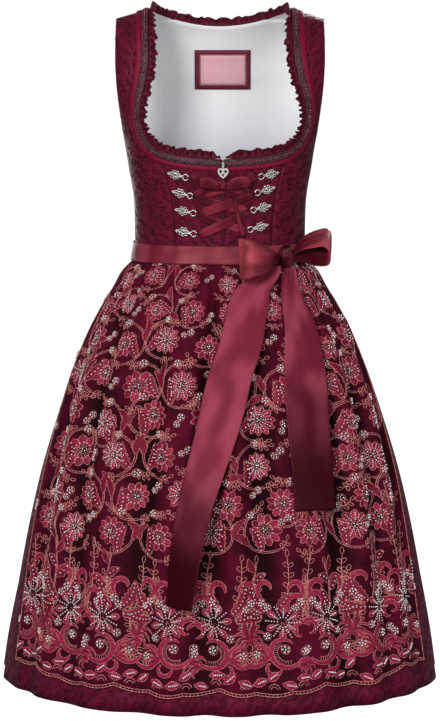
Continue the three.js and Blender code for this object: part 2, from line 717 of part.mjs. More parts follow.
// Outline of a hook plate: a flower, then a neck that ends in a loop
function hookOutline() {
  const points = [];
  for (let i = 0; i <= HOOK_FLOWER.points; i += 1) {
    const angle = mix(HOOK_FLOWER.from, 360 - HOOK_FLOWER.from, i / HOOK_FLOWER.points) * RAD;
    const radius = HOOK_FLOWER.radius + HOOK_FLOWER.lobe * Math.cos(HOOK_FLOWER.petals * angle);
    const x = radius * HOOK_FLOWER.stretch * Math.cos(angle);
    points.push(new THREE.Vector2(x, radius * Math.sin(angle)));
  }
  const neck = HOOK_LOOP.reach - HOOK_LOOP.radius;
  points.push(new THREE.Vector2(neck, -HOOK_LOOP.neck));
  for (let i = 0; i <= HOOK_LOOP.points; i += 1) {
    const angle = mix(HOOK_LOOP.from, -HOOK_LOOP.from, i / HOOK_LOOP.points) * RAD;
    const x = HOOK_LOOP.reach + HOOK_LOOP.radius * Math.cos(angle);
    points.push(new THREE.Vector2(x, HOOK_LOOP.radius * Math.sin(angle)));
  }
  points.push(new THREE.Vector2(neck, HOOK_LOOP.neck));
  return points;
}

function hookGeometry(hook) {
  const inward = hook.x < 0 ? 1 : -1;
  const shape = new THREE.Shape(hookOutline());
  const eye = new THREE.Path();
  eye.absellipse(HOOK_LOOP.reach, 0, HOOK_LOOP.eye, HOOK_LOOP.eye, 0, 2 * Math.PI, true);
  shape.holes.push(eye);
  const geometry = extruded(shape, HOOK.wall, 2);
  geometry.translate(-HOOK.middle, 0, 0);
  if (inward < 0) geometry.rotateY(Math.PI).translate(0, 0, HOOK.wall);
  geometry.applyMatrix4(frontFrame(hook.x, hook.h, HOOK.lift, -inward * hook.turn * RAD));
  return geometry;
}

// Strip of ribbon lying over the front of the bodice along a table of its sections
function laceStrip(sections, steps) {
  const centre = (share) => {
    const place = share * (sections.length - 1);
    const rows = sections.map((section, n) => ({ ...section, n }));
    const value = (column) => lookup(rows, 'n', column, place);
    return { x: value('x'), h: value('h'), width: value('width'), lift: value('lift') };
  };
  const outer = [[], []];
  const inner = [[], []];
  for (let i = 0; i <= steps; i += 1) {
    const here = centre(i / steps);
    const before = centre(Math.max(i - 1, 0) / steps);
    const after = centre(Math.min(i + 1, steps) / steps);
    const run = Math.hypot(after.x - before.x, after.h - before.h);
    const acrossX = -(after.h - before.h) / run;
    const acrossH = (after.x - before.x) / run;
    for (const [row, side] of [[0, -0.5], [1, 0.5]]) {
      const x = here.x + acrossX * here.width * side;
      const h = here.h + acrossH * here.width * side;
      outer[row].push(bodicePoint(spotAt(x, h), here.lift + LACE.wall));
      inner[row].push(bodicePoint(spotAt(x, h), here.lift));
    }
  }
  return wallGeometry(outer, inner);
}

function lacing(lace) {
  const ends = [lace.from, lace.to].map((end) => ({ ...end, width: LACE.width, lift: lace.lift }));
  return laceStrip(ends, LACE.columns);
}

// Solid block with rounded corners, standing off the front of the bodice
function roundedBlock(width, height, depth, corner) {
  const shape = new THREE.Shape();
  const right = width / 2;
  const top = height / 2;
  shape.moveTo(-right + corner, -top);
  shape.lineTo(right - corner, -top);
  shape.quadraticCurveTo(right, -top, right, -top + corner);
  shape.lineTo(right, top - corner);
  shape.quadraticCurveTo(right, top, right - corner, top);
  shape.lineTo(-right + corner, top);
  shape.quadraticCurveTo(-right, top, -right, top - corner);
  shape.lineTo(-right, -top + corner);
  shape.quadraticCurveTo(-right, -top, -right + corner, -top);
  return extruded(shape, depth, 3);
}

// Turns a closed geometry into a solid that can be joined and cut, and back
function solid(geometry) {
  const bare = geometry.clone();
  bare.deleteAttribute('normal');
  bare.deleteAttribute('uv');
  const merged = mergeVertices(bare, 1e-4);
  return new wasm.Manifold(new wasm.Mesh({
    numProp: 3,
    vertProperties: new Float32Array(merged.attributes.position.array),
    triVerts: new Uint32Array(merged.index.array),
  }));
}

function fromSolid(body) {
  const mesh = body.getMesh();
  const geometry = new THREE.BufferGeometry();
  geometry.setAttribute('position', new THREE.Float32BufferAttribute(mesh.vertProperties, 3));
  geometry.setIndex(Array.from(mesh.triVerts));
  return geometry;
}

const PULL_PIN = bodicePoint(spotAt(CENTRE_SHIFT, BAIL.h), 0).add(new THREE.Vector3(0, -BAIL.lift, 0));

// Slider: a rounded body on the zip with two ears and the pin that the pull hangs on
function sliderGeometry() {
  const body = roundedBlock(SLIDER.width, SLIDER.height, SLIDER.wall, SLIDER.corner);
  body.applyMatrix4(frontFrame(CENTRE_SHIFT, SLIDER.h, SLIDER.lift));
  let joined = solid(body);
  for (const side of [-1, 1]) {
    const ear = new THREE.BoxGeometry(BAIL.ear, BAIL.lift - 1, BAIL.earHeight);
    const x = PULL_PIN.x + side * (BAIL.half - BAIL.ear / 2);
    ear.translate(x, PULL_PIN.y + BAIL.lift / 2 - BAIL.earBack, PULL_PIN.z);
    joined = joined.add(solid(ear));
  }
  const pin = new THREE.CylinderGeometry(BAIL.radius, BAIL.radius, BAIL.half * 2 - 0.4, PIN_SIDES);
  pin.rotateZ(Math.PI / 2).translate(PULL_PIN.x, PULL_PIN.y, PULL_PIN.z);
  return fromSolid(joined.add(solid(pin)));
}

// Heart-shaped pull, hanging on the slider's pin by its link
function pullGeometry() {
  const ring = new THREE.Shape();
  ring.absarc(0, 0, PULL.eye, 0, 2 * Math.PI, false);
  const hole = new THREE.Path();
  hole.absarc(0, 0, PULL.hole, 0, 2 * Math.PI, true);
  ring.holes.push(hole);
  const eye = extruded(ring, PULL.linkWidth, PIN_SIDES);
  eye.translate(0, 0, -PULL.linkWidth / 2).rotateY(Math.PI / 2);
  const forward = PULL.hole + 0.1;
  const link = new THREE.BoxGeometry(PULL.linkWidth, PULL.wall, PULL.link);
  link.translate(0, -forward, -PULL.hole - PULL.link / 2);
  const size = PULL.heart / 2;
  const plate = extruded(heartShape(size), PULL.wall, 4);
  plate.rotateX(Math.PI / 2).translate(0, PULL.wall / 2 - forward, -PULL.hole - PULL.link - size * 0.5);
  const joined = solid(eye).add(solid(link)).add(solid(plate));
  const geometry = fromSolid(joined);
  geometry.translate(PULL_PIN.x, PULL_PIN.y, PULL_PIN.z);
  return geometry;
}

// Heart of a given half height, with three openings
function heartShape(size) {
  const heart = new THREE.Shape();
  heart.moveTo(0, -size);
  heart.bezierCurveTo(-size * 0.9, -size * 0.35, -size * 1.15, size * 0.2, -size * 0.95, size * 0.6);
  heart.bezierCurveTo(-size * 0.75, size * 1.05, -size * 0.25, size * 1.05, 0, size * 0.6);
  heart.bezierCurveTo(size * 0.25, size * 1.05, size * 0.75, size * 1.05, size * 0.95, size * 0.6);
  heart.bezierCurveTo(size * 1.15, size * 0.2, size * 0.9, -size * 0.35, 0, -size);
  for (const side of [-1, 1]) {
    const opening = new THREE.Path();
    opening.absellipse(side * size * 0.45, size * 0.3, size * 0.24, size * 0.3, 0, 2 * Math.PI, false);
    heart.holes.push(opening);
  }
  const lower = new THREE.Path();
  lower.absellipse(0, -size * 0.35, size * 0.2, size * 0.24, 0, 2 * Math.PI, false);
  heart.holes.push(lower);
  return heart;
}

function zipGeometry() {
  const rows = [ZIP.top, ...LOWER_ROWS];
  const spot = (h, share) => spotAt(CENTRE_SHIFT + mix(-ZIP.half, ZIP.half, share), h);
  return bodiceWall(rows, 1, spot, 0, -ZIP.wall);
}

// Turn of a line of the skirt's cloth: the front lines close up towards the hem
function lineTurn(line, h) {
  const narrowing = APRON_NARROWING * smooth((h - NARROWING_TOP) / (SKIRT_HEM - NARROWING_TOP));
  const away = Math.abs(line) <= 180 ? Math.abs(line) : 360 - Math.abs(line);
  const side = line <= 180 ? Math.sign(line) : -1;
  const reach = APRON_REACH * (1 - narrowing);
  const turned = away <= APRON_REACH
    ? away * (1 - narrowing)
    : 180 - (180 - away) * (180 - reach) / (180 - APRON_REACH);
  return side * turned * RAD;
}

function foldDepth(line, h) {
  let depth = 0;
  for (const fold of FOLDS) {
    const gap = Math.abs(((line - fold.at + 540) % 360) - 180);
    if (gap < fold.width) {
      const grown = Math.sqrt(smooth((h - fold.from) / (FOLD_DEEPEST - fold.from)));
      const left = mix(1, FOLD_AT_HEM, smooth((h - FOLD_DEEPEST) / (SKIRT_HEM - FOLD_DEEPEST)));
      depth += fold.depth * grown * left * (0.5 + 0.5 * Math.cos(Math.PI * gap / fold.width));
    }
  }
  const column = Math.round(line / LINE_STEP);
  const tucked = column % 2 === 0 ? 0 : 1;
  return depth + tucked * lookup(GATHERS, 'h', 'depth', h);
}

// Point of the skirt's outline at a turn, moved out level by a lift
function skirtOutline(turn, h, lift) {
  const depth = lookup(SKIRT_SECTIONS, 'h', Math.cos(turn) > 0 ? 'front' : 'back', h);
  const half = lookup(SKIRT_SECTIONS, 'h', 'half', h);
  const power = lookup(SKIRT_SECTIONS, 'h', 'power', h);
  const { across, along } = ovalShares(turn, power);
  const normal = new THREE.Vector3(
    Math.sign(across) * Math.abs(across) ** (power - 1) / half,
    -Math.sign(along) * Math.abs(along) ** (power - 1) / depth,
    0,
  ).normalize();
  return new THREE.Vector3(half * across, -depth * along, SHOULDER_TOP - h).addScaledVector(normal, lift);
}

function skirtPoint(line, h, lift) {
  return skirtOutline(lineTurn(line, h), h, lift - foldDepth(line, h));
}

function skirtWall(firstLine, lastLine) {
  const columns = Math.round((lastLine - firstLine) / LINE_STEP);
  const layer = (lift) => trimEdges(SKIRT_ROWS.map((h) => {
    const row = [];
    for (let c = 0; c <= columns; c += 1) row.push(skirtPoint(firstLine + c * LINE_STEP, h, lift));
    return row;
  }));
  return wallGeometry(layer(0), layer(-SKIRT_WALL));
}

function apronHem(line) {
  const wave = (scallop) => scallop.depth * Math.abs(Math.sin(Math.PI * line / scallop.width));
  const rise = APRON_HEM_RISE * (line / APRON_REACH) ** 2;
  return APRON_HEM - rise + wave(LARGE_SCALLOP) + wave(SMALL_SCALLOP);
}

function apronWall() {
  const columns = Math.round(2 * APRON_REACH / LINE_STEP);
  const rows = [...SKIRT_ROWS.slice(0, -1), null];
  const layer = (lift) => rows.map((place) => {
    const row = [];
    for (let c = 0; c <= columns; c += 1) {
      const line = c * LINE_STEP - APRON_REACH;
      row.push(skirtPoint(line, place ?? apronHem(line), lift));
    }
    return row;
  });
  return wallGeometry(layer(LAY_GAP + APRON_WALL), layer(LAY_GAP));
}

// Ribbon round the waist, over the top of the apron and the skirt
function waistRibbon(behind) {
  const layer = (extra) => trimEdges([0, 0.5, 1].map((share) => {
    const h = mix(RIBBON_TOP, RIBBON_BOTTOM, share);
    const row = [];
    for (let c = 0; c <= RIBBON_COLUMNS; c += 1) {
      const turn = mix(-Math.PI / 2, Math.PI / 2, c / RIBBON_COLUMNS);
      const lift = mix(RIBBON_LIFT.top, RIBBON_LIFT.bottom, share) + extra;
      row.push(bodicePoint({ turn, girth: girthAt(h), behind }, lift));
    }
    return row;
  }));
  return wallGeometry(layer(RIBBON_WALL), layer(0));
}

// Wall of even thickness on both sides of a grid of points
function thickened(grid, wall) {
  const rows = grid.length - 1;
  const columns = grid[0].length - 1;
  const offset = (distance) => grid.map((row, r) => row.map((point, c) => {
    const along = grid[Math.min(r + 1, rows)][c].clone().sub(grid[Math.max(r - 1, 0)][c]);
    const across = row[Math.min(c + 1, columns)].clone().sub(row[Math.max(c - 1, 0)]);
    return point.clone().addScaledVector(along.cross(across).normalize(), distance);
  }));
  return wallGeometry(offset(wall / 2), offset(-wall / 2));
}

// Loop of the bow: a ribbon between its two edge curves
function bowLoop(table) {
  const curve = (edge) => new THREE.CatmullRomCurve3(table.map((row) => new THREE.Vector3(...row[edge])));
  const upper = curve('upper');
  const lower = curve('lower');
  const grid = [];
  for (let i = 0; i <= BOW.steps; i += 1) {
    const start = upper.getPoint(i / BOW.steps);
    const end = lower.getPoint(i / BOW.steps);
    const row = [];
    for (let c = 0; c <= BOW.across; c += 1) row.push(start.clone().lerp(end, c / BOW.across));
    grid.push(row);
  }
  return thickened(grid, BOW.wall);
}

// Tail of the bow: level sections across the skirt's outline, over the folds
function bowTail(table) {
  const layer = (extra) => {
    const grid = [];
    for (let r = 0; r <= TAIL.rows; r += 1) {
      const h = mix(table[0].h, table.at(-1).h, r / TAIL.rows);
      const half = lookup(SKIRT_SECTIONS, 'h', 'half', h);
      const power = lookup(SKIRT_SECTIONS, 'h', 'power', h);
      const centre = lookup(table, 'h', 'x', h);
      const width = lookup(table, 'h', 'width', h);
      const row = [];
      for (let c = 0; c <= TAIL.across; c += 1) {
        const share = c / TAIL.across;
        const x = centre + width * (share - 0.5);
        const lift = mix(lookup(table, 'h', 'left', h), lookup(table, 'h', 'right', h), share);
        row.push(skirtOutline(turnAtShare(x / half, power), h, lift + extra));
      }
      grid.push(row);
    }
    return grid;
  };
  return wallGeometry(layer(TAIL.wall), layer(0));
}

// Knot of the bow: a rounded ring of ribbon, flattened towards the waist
function bowKnot() {
  const geometry = new THREE.SphereGeometry(0.5, BOW_KNOT.around, BOW_KNOT.rows);
  geometry.scale(BOW_KNOT.width, BOW_KNOT.height, BOW_KNOT.depth);
  geometry.applyMatrix4(frontFrame(BOW_KNOT.x, BOW_KNOT.h, BOW_KNOT.lift));
  return geometry;
}

function finish(color, roughness, metalness = 0) {
  return new THREE.MeshStandardMaterial({ color, roughness, metalness, side: THREE.DoubleSide });
}

const jacquard = finish(0x5a1226, 0.7);
const brocade = finish(0x5c0f2b, 0.65);
const lining = finish(0xd9dcdf, 0.8);
const crimson = finish(0x96143c, 0.5);
const beaded = finish(0x2d0a16, 0.45);
const frilled = finish(0x64142c, 0.6);
const lace = finish(0x7c2440, 0.75);
const satin = finish(0x963c4b, 0.35);
const silver = finish(0xc6c6c4, 0.35, 0.9);
const tape = finish(0x3a0c1a, 0.6);
const labelBorder = finish(0x7a1c34, 0.6);
const labelPink = finish(0xd8a0a8, 0.7);

const dirndl = new THREE.Group();

function add(name, geometry, material) {
  const mesh = new THREE.Mesh(geometry, material);
  mesh.name = name;
  dirndl.add(mesh);
}

add('bodice_front_left', centreFront(-1), jacquard);
add('bodice_front_right', centreFront(1), jacquard);
add('bodice_side_front_left', sideFront(-1), jacquard);
add('bodice_side_front_right', sideFront(1), jacquard);
add('bodice_side_back_left', sideBack(-1), jacquard);
add('bodice_side_back_right', sideBack(1), jacquard);
add('bodice_back', centreBack(), jacquard);
add('lining_back', liningBack(), lining);

add('label', labelPiece(LABEL, LABEL_LIFT), labelBorder);
add('label_field', labelPiece(LABEL_FIELD, LABEL_LIFT - LABEL.wall - LAY_GAP), labelPink);

add('neck_frill', frillGeometry(), frilled);
add('neck_braid', neckTrim(BRAID, LAY_GAP), beaded);
add('neck_ribbon', neckTrim(NECK_RIBBON, LAY_GAP), crimson);

add('zip', zipGeometry(), tape);
add('zip_slider', sliderGeometry(), silver);
add('zip_pull', pullGeometry(), silver);
for (const hook of HOOKS) add(hook.name, hookGeometry(hook), silver);
for (const strip of LACES) add(strip.name, lacing(strip), satin);
add('lace_loop_left', laceStrip(LACE_LOOP_LEFT, LACE_END_COLUMNS), satin);
add('lace_loop_right', laceStrip(LACE_LOOP_RIGHT, LACE_END_COLUMNS), satin);
add('lace_tail_left', laceStrip(LACE_TAIL_LEFT, LACE_END_COLUMNS), satin);
add('lace_tail_right', laceStrip(LACE_TAIL_RIGHT, LONG_LACE_END_COLUMNS), satin);
const laceKnot = roundedBlock(LACE_KNOT.width, LACE_KNOT.height, LACE_KNOT.wall, 2);
laceKnot.applyMatrix4(frontFrame(LACE_KNOT.x, LACE_KNOT.h, LACE_KNOT.lift));
add('lace_knot', laceKnot, satin);

add('skirt_front', skirtWall(-90, 90), brocade);
add('skirt_back', skirtWall(90, 270), brocade);
add('apron', apronWall(), lace);

add('waist_ribbon_front', waistRibbon(false), satin);
add('waist_ribbon_back', waistRibbon(true), satin);
add('bow_loop_left', bowLoop(BOW_LEFT), satin);
add('bow_loop_right', bowLoop(BOW_RIGHT), satin);
add('bow_tail_left', bowTail(TAIL_LEFT), satin);
add('bow_tail_right', bowTail(TAIL_RIGHT), satin);
add('bow_knot', bowKnot(), satin);

export default dirndl;
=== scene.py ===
"""Looks of the dirndl dress and its apron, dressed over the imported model.

Forms are worked out in millimetres from the same tables as the model's source and turned into
metres when a mesh is made. Heights are measured down from the top of the shoulder seam.
"""

import math

import bpy
import numpy as np
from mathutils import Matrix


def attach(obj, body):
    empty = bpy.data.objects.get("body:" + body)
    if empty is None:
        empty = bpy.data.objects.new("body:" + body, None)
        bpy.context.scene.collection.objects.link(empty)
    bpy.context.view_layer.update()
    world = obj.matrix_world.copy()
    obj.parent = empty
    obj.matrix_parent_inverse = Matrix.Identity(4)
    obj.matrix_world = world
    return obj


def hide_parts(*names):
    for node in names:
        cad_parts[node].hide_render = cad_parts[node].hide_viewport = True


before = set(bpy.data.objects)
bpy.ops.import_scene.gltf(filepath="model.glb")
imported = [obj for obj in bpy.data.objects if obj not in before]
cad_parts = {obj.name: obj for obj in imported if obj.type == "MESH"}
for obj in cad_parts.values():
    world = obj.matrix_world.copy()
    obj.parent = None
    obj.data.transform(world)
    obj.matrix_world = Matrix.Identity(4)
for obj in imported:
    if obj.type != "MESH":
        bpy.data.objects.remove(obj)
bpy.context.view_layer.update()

MM = 0.001
BODY = "dress"

# Camera, found from the photograph's view: place in metres, downward pitch and focal length
CAMERA_PLACE = (0.0, -3.5, -0.084)
CAMERA_PITCH = 7.2177
CAMERA_LENS = 115.58
SENSOR = 36.0
FLOOR_LEVEL = -1.46
FLOOR_HALF = 90.0
FLOOR_GLOW = 1.05
WORLD_LIGHT = 0.16
LIGHT_AIM = (0, 0, -0.45)

RED_SHINE = (1.0, 0.38, 0.42)
SATIN_SHADE = "38050d"
FOLD_SHADE = "150206"

# Lamps: place in metres, size and power
LIGHTS = (
    ("key", (-1.3, -3.6, 1.1), 1.1, 92),
    ("fill", (1.7, -3.4, 0.1), 1.5, 34),
    ("key_behind", (1.3, 3.6, 1.1), 1.1, 80),
    ("fill_behind", (-1.7, 3.4, 0.1), 1.5, 30),
)

# Heights and walls of the cloth, in millimetres
SHOULDER_TOP = 3.0
ARCH = 95.0
ARCH_FRONT = 80.0
ARCH_BACK = 86.0
ARMHOLE_BOTTOM = 206.0
ARMHOLE_FRONT = 50.0
ARMHOLE_BACK = 53.0
BACK_NECK = 24.0
BODICE_BOTTOM = 365.5
LINING_BOTTOM = 352.0
LINING_ROWS, LINING_COLUMNS = 64, 80
LINING_REACH = 0.985
LINING_LIGHT = (-0.27, -0.12)  # heights in metres between which the lining turns brighter: painted light above, painted shade below
SKIRT_TOP = 366.0
SKIRT_HEM = 1007.0
RIBBON_TOP = 348.0
RIBBON_BOTTOM = 375.0
NECK_POINT = 105.0
CENTRE_SHIFT = 4.5
SHIFT_HEIGHT = 150.0
SHOULDER_SLOPE = 0.29
SLOPE_FADE = 150.0
ZIP_HALF = 1.4
ZIP_TOP = 221.0
TRIM_END = 4.2
BODICE_WALL = 1.6
SKIRT_WALL = 1.4
APRON_LIFT = 0.8
APRON_WALL = 1.0
APRON_REACH = 82.5
APRON_NARROWING = 0.2
NARROWING_TOP = 420.0
APRON_HEM = 972.0
APRON_HEM_RISE = 14.0
LARGE_SCALLOP = (33.75, 8.0)
SMALL_SCALLOP = (11.25, 3.5)
GATHER_PERIOD = 7.5
PANEL_BOTTOM = BODICE_BOTTOM - 0.3

# Rows and columns of the grids, and thicknesses of the ribbons in millimetres
PANEL_ROWS, PANEL_COLUMNS = 64, 26
FRONT_ROWS, BACK_COLUMNS = 40, 40
SKIRT_ROWS, SKIRT_COLUMNS = 58, 241
SKIRT_GAP = 0.03  # half of the gap at the skirt's side seams, in degrees
CLOTH_RADIUS = 300  # millimetres of pattern for one radian round the skirt
APRON_ROWS, APRON_COLUMNS = 66, 265
NECK_RIBBON_WALL = 0.6
BAND_WALL = 0.8
FRILL_WALL = 0.45
NARROW_RIBBON = 0.45
WIDE_RIBBON = 0.7
PLEATS = 3
SHEEN_ROUGHNESS = 0.4


def table(names, *rows):
    """Short table of numbers with named columns."""
    return {name: np.array([row[i] for row in rows], float) for i, name in enumerate(names.split())}


# Tables of the forms: heights and half widths in millimetres, folds at degrees round the skirt
BODICE_SECTIONS = table(
    "h half front back power",
    (0, 166.5, 80, 86, 3.2),
    (95, 167.5, 80, 86, 3.2),
    (120, 163.4, 89, 91, 3.0),
    (150, 156.3, 99, 94, 2.8),
    (175, 149.8, 107, 95, 2.7),
    (204, 142.5, 115, 94, 2.6),
    (233, 138, 118, 92, 2.5),
    (278, 130.6, 110, 91, 2.4),
    (324, 128.6, 101.5, 94, 2.3),
    (358, 128.8, 98.5, 98, 2.25),
    (400, 129, 98.5, 98.5, 2.2),
)
SKIRT_SECTIONS = table(
    "h half front back power",
    (366, 130, 99.7, 99.7, 2.25),
    (375, 131.2, 101, 101, 2.2),
    (392, 147, 112, 116, 2.2),
    (415, 160, 123, 129, 2.15),
    (438, 174.5, 135, 142, 2.15),
    (483, 199, 157, 164, 2.1),
    (553, 229, 186, 193, 2.1),
    (668, 266.5, 222, 229, 2.1),
    (762, 290.5, 247, 253, 2.1),
    (856, 311, 267, 273, 2.1),
    (950, 329, 283, 289, 2.1),
    (1007, 337.5, 291, 297, 2.1),
)
NECK_SIDE = table(
    "h x",
    (0, 105), (40, 105.5), (76, 107), (105, 112), (127, 118),
    (149, 121.6), (167, 121), (184, 116), (198, 106), (206, 95),
)
NECK_FRONT = table("x h", (0, 220), (30, 218), (62, 215), (84, 210), (95, 206))
FRONT_SEAM = table("h x", (206, 95), (240, 86), (275, 77.5), (310, 73.5), (365.5, 71))
BACK_SEAM = table("h x", (13.3, 70), (100, 62), (200, 52), (365.5, 42))
DEEPEST_FOLD = 26.0
FOLD_DEEPEST = 620.0
FOLD_AT_HEM = 0.45
FOLDS = table(
    "at width depth from",
    (-72, 8, 12, 430), (-52, 9, 15, 400), (-26, 9, 20, 395), (-4, 8, 24, 390),
    (14, 8, 21, 380), (42, 10, 25, 400), (61, 8, 16, 450), (77, 7, 11, 480),
    (99, 8, 18, 420), (117, 9, 24, 395), (136, 9, 20, 430), (153, 8, 25, 390),
    (171, 9, 22, 400), (190, 8, 18, 440), (207, 9, 26, 390), (226, 9, 21, 410),
    (244, 8, 23, 395), (261, 8, 17, 430),
)
GATHERS = table(
    "h depth",
    (366, 1.2), (375, 2.2), (395, 5.5), (430, 6), (480, 3.5), (550, 0), (1007, 0),
)

# Trims: distances into the cloth from the neck's edge, heights on the zip and edges of the label
BEAD_SIDES = 6
BRAID_BEADS = ((6.1, 3.4, 1.25, 0.0), (3.2, 2.1, 0.75, 0.5), (9.0, 2.1, 0.75, 0.5))
BRAID_WAVES = ((4.7, 1), (7.5, -1))
BRAID_CORDS = (1.1, 11.1)
NECK_RIBBON = (11.6, 20.4, 2.4)  # inner edge, outer edge and how much narrower it is in front
FRILL_WAVES = 98
FRILL_HEIGHT = 10
FRILL_TAPER = 12
FRILL_ROWS = (-0.12, 0.0, 0.12, 0.3, 0.5, 0.7, 0.86, 1.0)
ZIP_TEETH = (233, 364, 1.3)
LABEL_LAYERS = (
    ("label_border", -39, 47, 59, 120, -4.85, 0.8, 12, 18, "lining_back"),
    ("label_field", -30, 39, 67, 112, -6.7, 0.7, 10, 14, "label"),
)
LABEL_SEAMS = ((-37, 45, 61, 118, -5.9, 0), (-31, 40, 66, 113, -6.1, 1))

# Hooks, lacing and bow: places from the centre line and down from the shoulder
HOOKS = table(
    "x h turn",
    (-59.1, 244, 10), (-52.6, 271, 10), (-48.2, 297, 8), (-47.6, 328, 8),
    (68.6, 243, 8), (63.5, 266, 12), (57.7, 292, 10), (53.4, 321, 12),
)
HOOK_LIFT = 0.9
HOOK_MIDDLE = 6.2
HOOK_REACH = 17.0
HOOK_LEAF = (
    (-6.4, 0, 0.5), (-8.2, 1.9, 0.6), (-10.4, 1.3, 0.6),
    (-12.4, 0, 0.4), (-10.4, -1.3, 0.6), (-8.2, -1.9, 0.6),
)
HOOK_VEIN = ((-6.4, 0, 0.8), (-9.5, 0, 0.9), (-12.2, 0, 0.5))
LACES = (
    ("lace_under_1", (-42, 246.5), (46.5, 269), 0.8),
    ("lace_over_1", (51.5, 246), (-35.5, 274), 2.4),
    ("lace_under_2", (-35.5, 277), (40.5, 295), 0.8),
    ("lace_over_2", (46.5, 271), (-31, 300), 2.4),
    ("lace_under_3", (-31, 303), (36, 324), 0.8),
    ("lace_over_3", (40.5, 297), (-30.5, 331), 2.4),
)
LACE_WIDTH = 13.0
LACE_LOOPS = {
    "lace_loop_left": table("n x h width lift", (0, -1, 259.5, 5, 7.4), (1, -10, 255, 10, 8.4),
                            (2, -20, 253, 13, 8.0), (3, -29, 254, 12.5, 6.4)),
    "lace_loop_right": table("n x h width lift", (0, 8, 259.5, 5, 7.4), (1, 18, 254.5, 11, 8.6),
                             (2, 31, 252, 13.5, 8.2), (3, 44, 253, 12.5, 6.4)),
}
LACE_TAILS = {
    "lace_tail_left": table("n x h width lift", (0, -2, 262, 5, 5.6), (1, -13, 262, 8, 4.8),
                            (2, -25, 265, 9, 4.6), (3, -36, 271, 10, 4.4)),
    "lace_tail_right": table("n x h width lift", (0, 9, 262, 4, 5.6), (1, 18, 268, 5, 4.8),
                             (2, 23, 290, 5, 4.6), (3, 28, 312, 5, 4.4), (4, 34, 334, 6, 4.4)),
}
LACE_KNOT = (3.5, 260.0, 6.4)
LACE_KNOT_SIZE = (8.5, 8.5, 6.5)
RIBBON_LIFTS = (1.4, 5.4)
BOW_KNOT = (90.0, 363.0, 14.2)
BOW_KNOT_SIZE = (22, 30, 17)
BOW_LEFT = (
    ((88, -92.4, -356), (87.6, -92.4, -365)), ((66, -101, -344), (66, -104, -372)),
    ((44, -113, -335), (47, -122, -384)), ((30, -121, -332), (34, -129, -390)),
    ((27, -131, -332), (31, -137, -391)), ((41, -139, -331), (45, -143, -389)),
    ((63, -129, -343), (66, -131, -384)), ((87.4, -96.6, -356), (87.4, -97, -367)),
)
BOW_RIGHT = (
    ((108.6, -79, -352), (108.6, -86, -358)), ((124, -66, -334), (122, -104, -350)),
    ((142, -60, -325), (138, -110, -346)), ((161, -62, -322), (152, -112, -345)),
    ((165.5, -66, -331), (161, -113, -354)), ((163, -68, -341), (160, -112, -371)),
    ((150, -66, -337), (143, -109, -374)), ((136, -60, -340), (127, -104, -370)),
    ((109, -79, -362), (108.8, -85, -367)),
)
TAIL_LEFT = table(
    "h x width left right",
    (377, 77, 16, 8, 7), (390, 64, 40, 6.5, 6), (412, 46, 52, 5, 5), (486, 29.7, 62, 3, 3),
    (534, 13.6, 64, 2.8, 2.8), (590, 0.4, 63, 2.8, 2.8), (732, -40, 48, 2.8, 20), (850, -57, 40, 2.8, 30),
)
TAIL_RIGHT = table(
    "h x width left right",
    (379, 98, 12, 8, 8), (410, 101, 26, 3, 4), (468, 116, 47, 2.8, 3.5),
    (537, 122.5, 59, 2.8, 3), (593, 125, 60, 2.8, 3), (721, 136, 58, 2.8, 6),
)
TAIL_RAISE = 1.4  # the tails lie on the embroidery, a little higher than on bare cloth

# Embroidery: heights of its zones, and the border's motifs from the middle of one unit
SEED = 7
APRON_FACE = APRON_LIFT + APRON_WALL
FILL, FILL_LIGHT = 0, 1
PEARL, CRYSTAL, DARK = 0, 1, 2
PATCH_DOME = 0.9
VINE_LEVEL = 862
FLOWER_LEVELS = (396, 440, 490, 543, 597, 651, 704, 752)
BORDER_SCROLLS = (
    ((-14, 44), 26, 150, -130, 7.0), ((27, 52), 19, 20, 300, 6.5),
    ((-36, 14), 14, -150, 100, 6.0, False), ((2, 70), 12, 170, -60, 5.5, False),
)
BORDER_FANS = (((10, 62), -30, 4, 34, 1), ((36, 34), 10, 4, 30, 1), ((-34, 66), -20, 3, 26, -1))
BORDER_CLUSTERS = ((-14, 42, 3.8), (27, 52, 3.4), (-42, 44, 3.4), (12, 26, 3.2))
BORDER_SPRIGS = ((-38, 0, -100), (46, 18, -80), (22, 4, -60), (-6, 22, -130))


# Forms of the cloth

def lookup(rows, column, place):
    """Smooth values of one column of a table at places in its first column."""
    x, y = next(iter(rows.values())), rows[column]
    place = np.asarray(place, float)
    i = np.searchsorted(x[1:-1], place, side="left")
    steps = np.diff(y) / np.diff(x)
    slopes = np.concatenate(([steps[0]], (y[2:] - y[:-2]) / (x[2:] - x[:-2]), [steps[-1]]))
    span = x[i + 1] - x[i]
    t = np.clip((place - x[i]) / span, 0, 1)
    start = (2 * t - 3) * t * t + 1
    end = (3 - 2 * t) * t * t
    start_pull = ((t - 2) * t + 1) * t
    end_pull = (t - 1) * t * t
    return start * y[i] + end * y[i + 1] + (start_pull * slopes[i] + end_pull * slopes[i + 1]) * span


def lookups(rows, names, place):
    return [lookup(rows, name, place) for name in names.split()]


def smooth(value):
    t = np.clip(value, 0, 1)
    return t * t * (3 - 2 * t)


def mix(a, b, share):
    return a + (b - a) * share


def unit(vectors):
    return vectors / np.maximum(np.linalg.norm(vectors, axis=-1, keepdims=True), 1e-12)


def girth_at(h):
    """Length over the cloth down to a height: the straps bend over a quarter circle."""
    h = np.asarray(h, float)
    arched = ARCH * np.arccos(np.clip(1 - h / ARCH, -1, 1))
    return np.where(h < ARCH, arched, ARCH * math.pi / 2 + h - ARCH)


def height_at(girth):
    girth = np.asarray(girth, float)
    arch = ARCH * math.pi / 2
    return np.where(girth < arch, ARCH * (1 - np.cos(girth / ARCH)), ARCH + girth - arch)


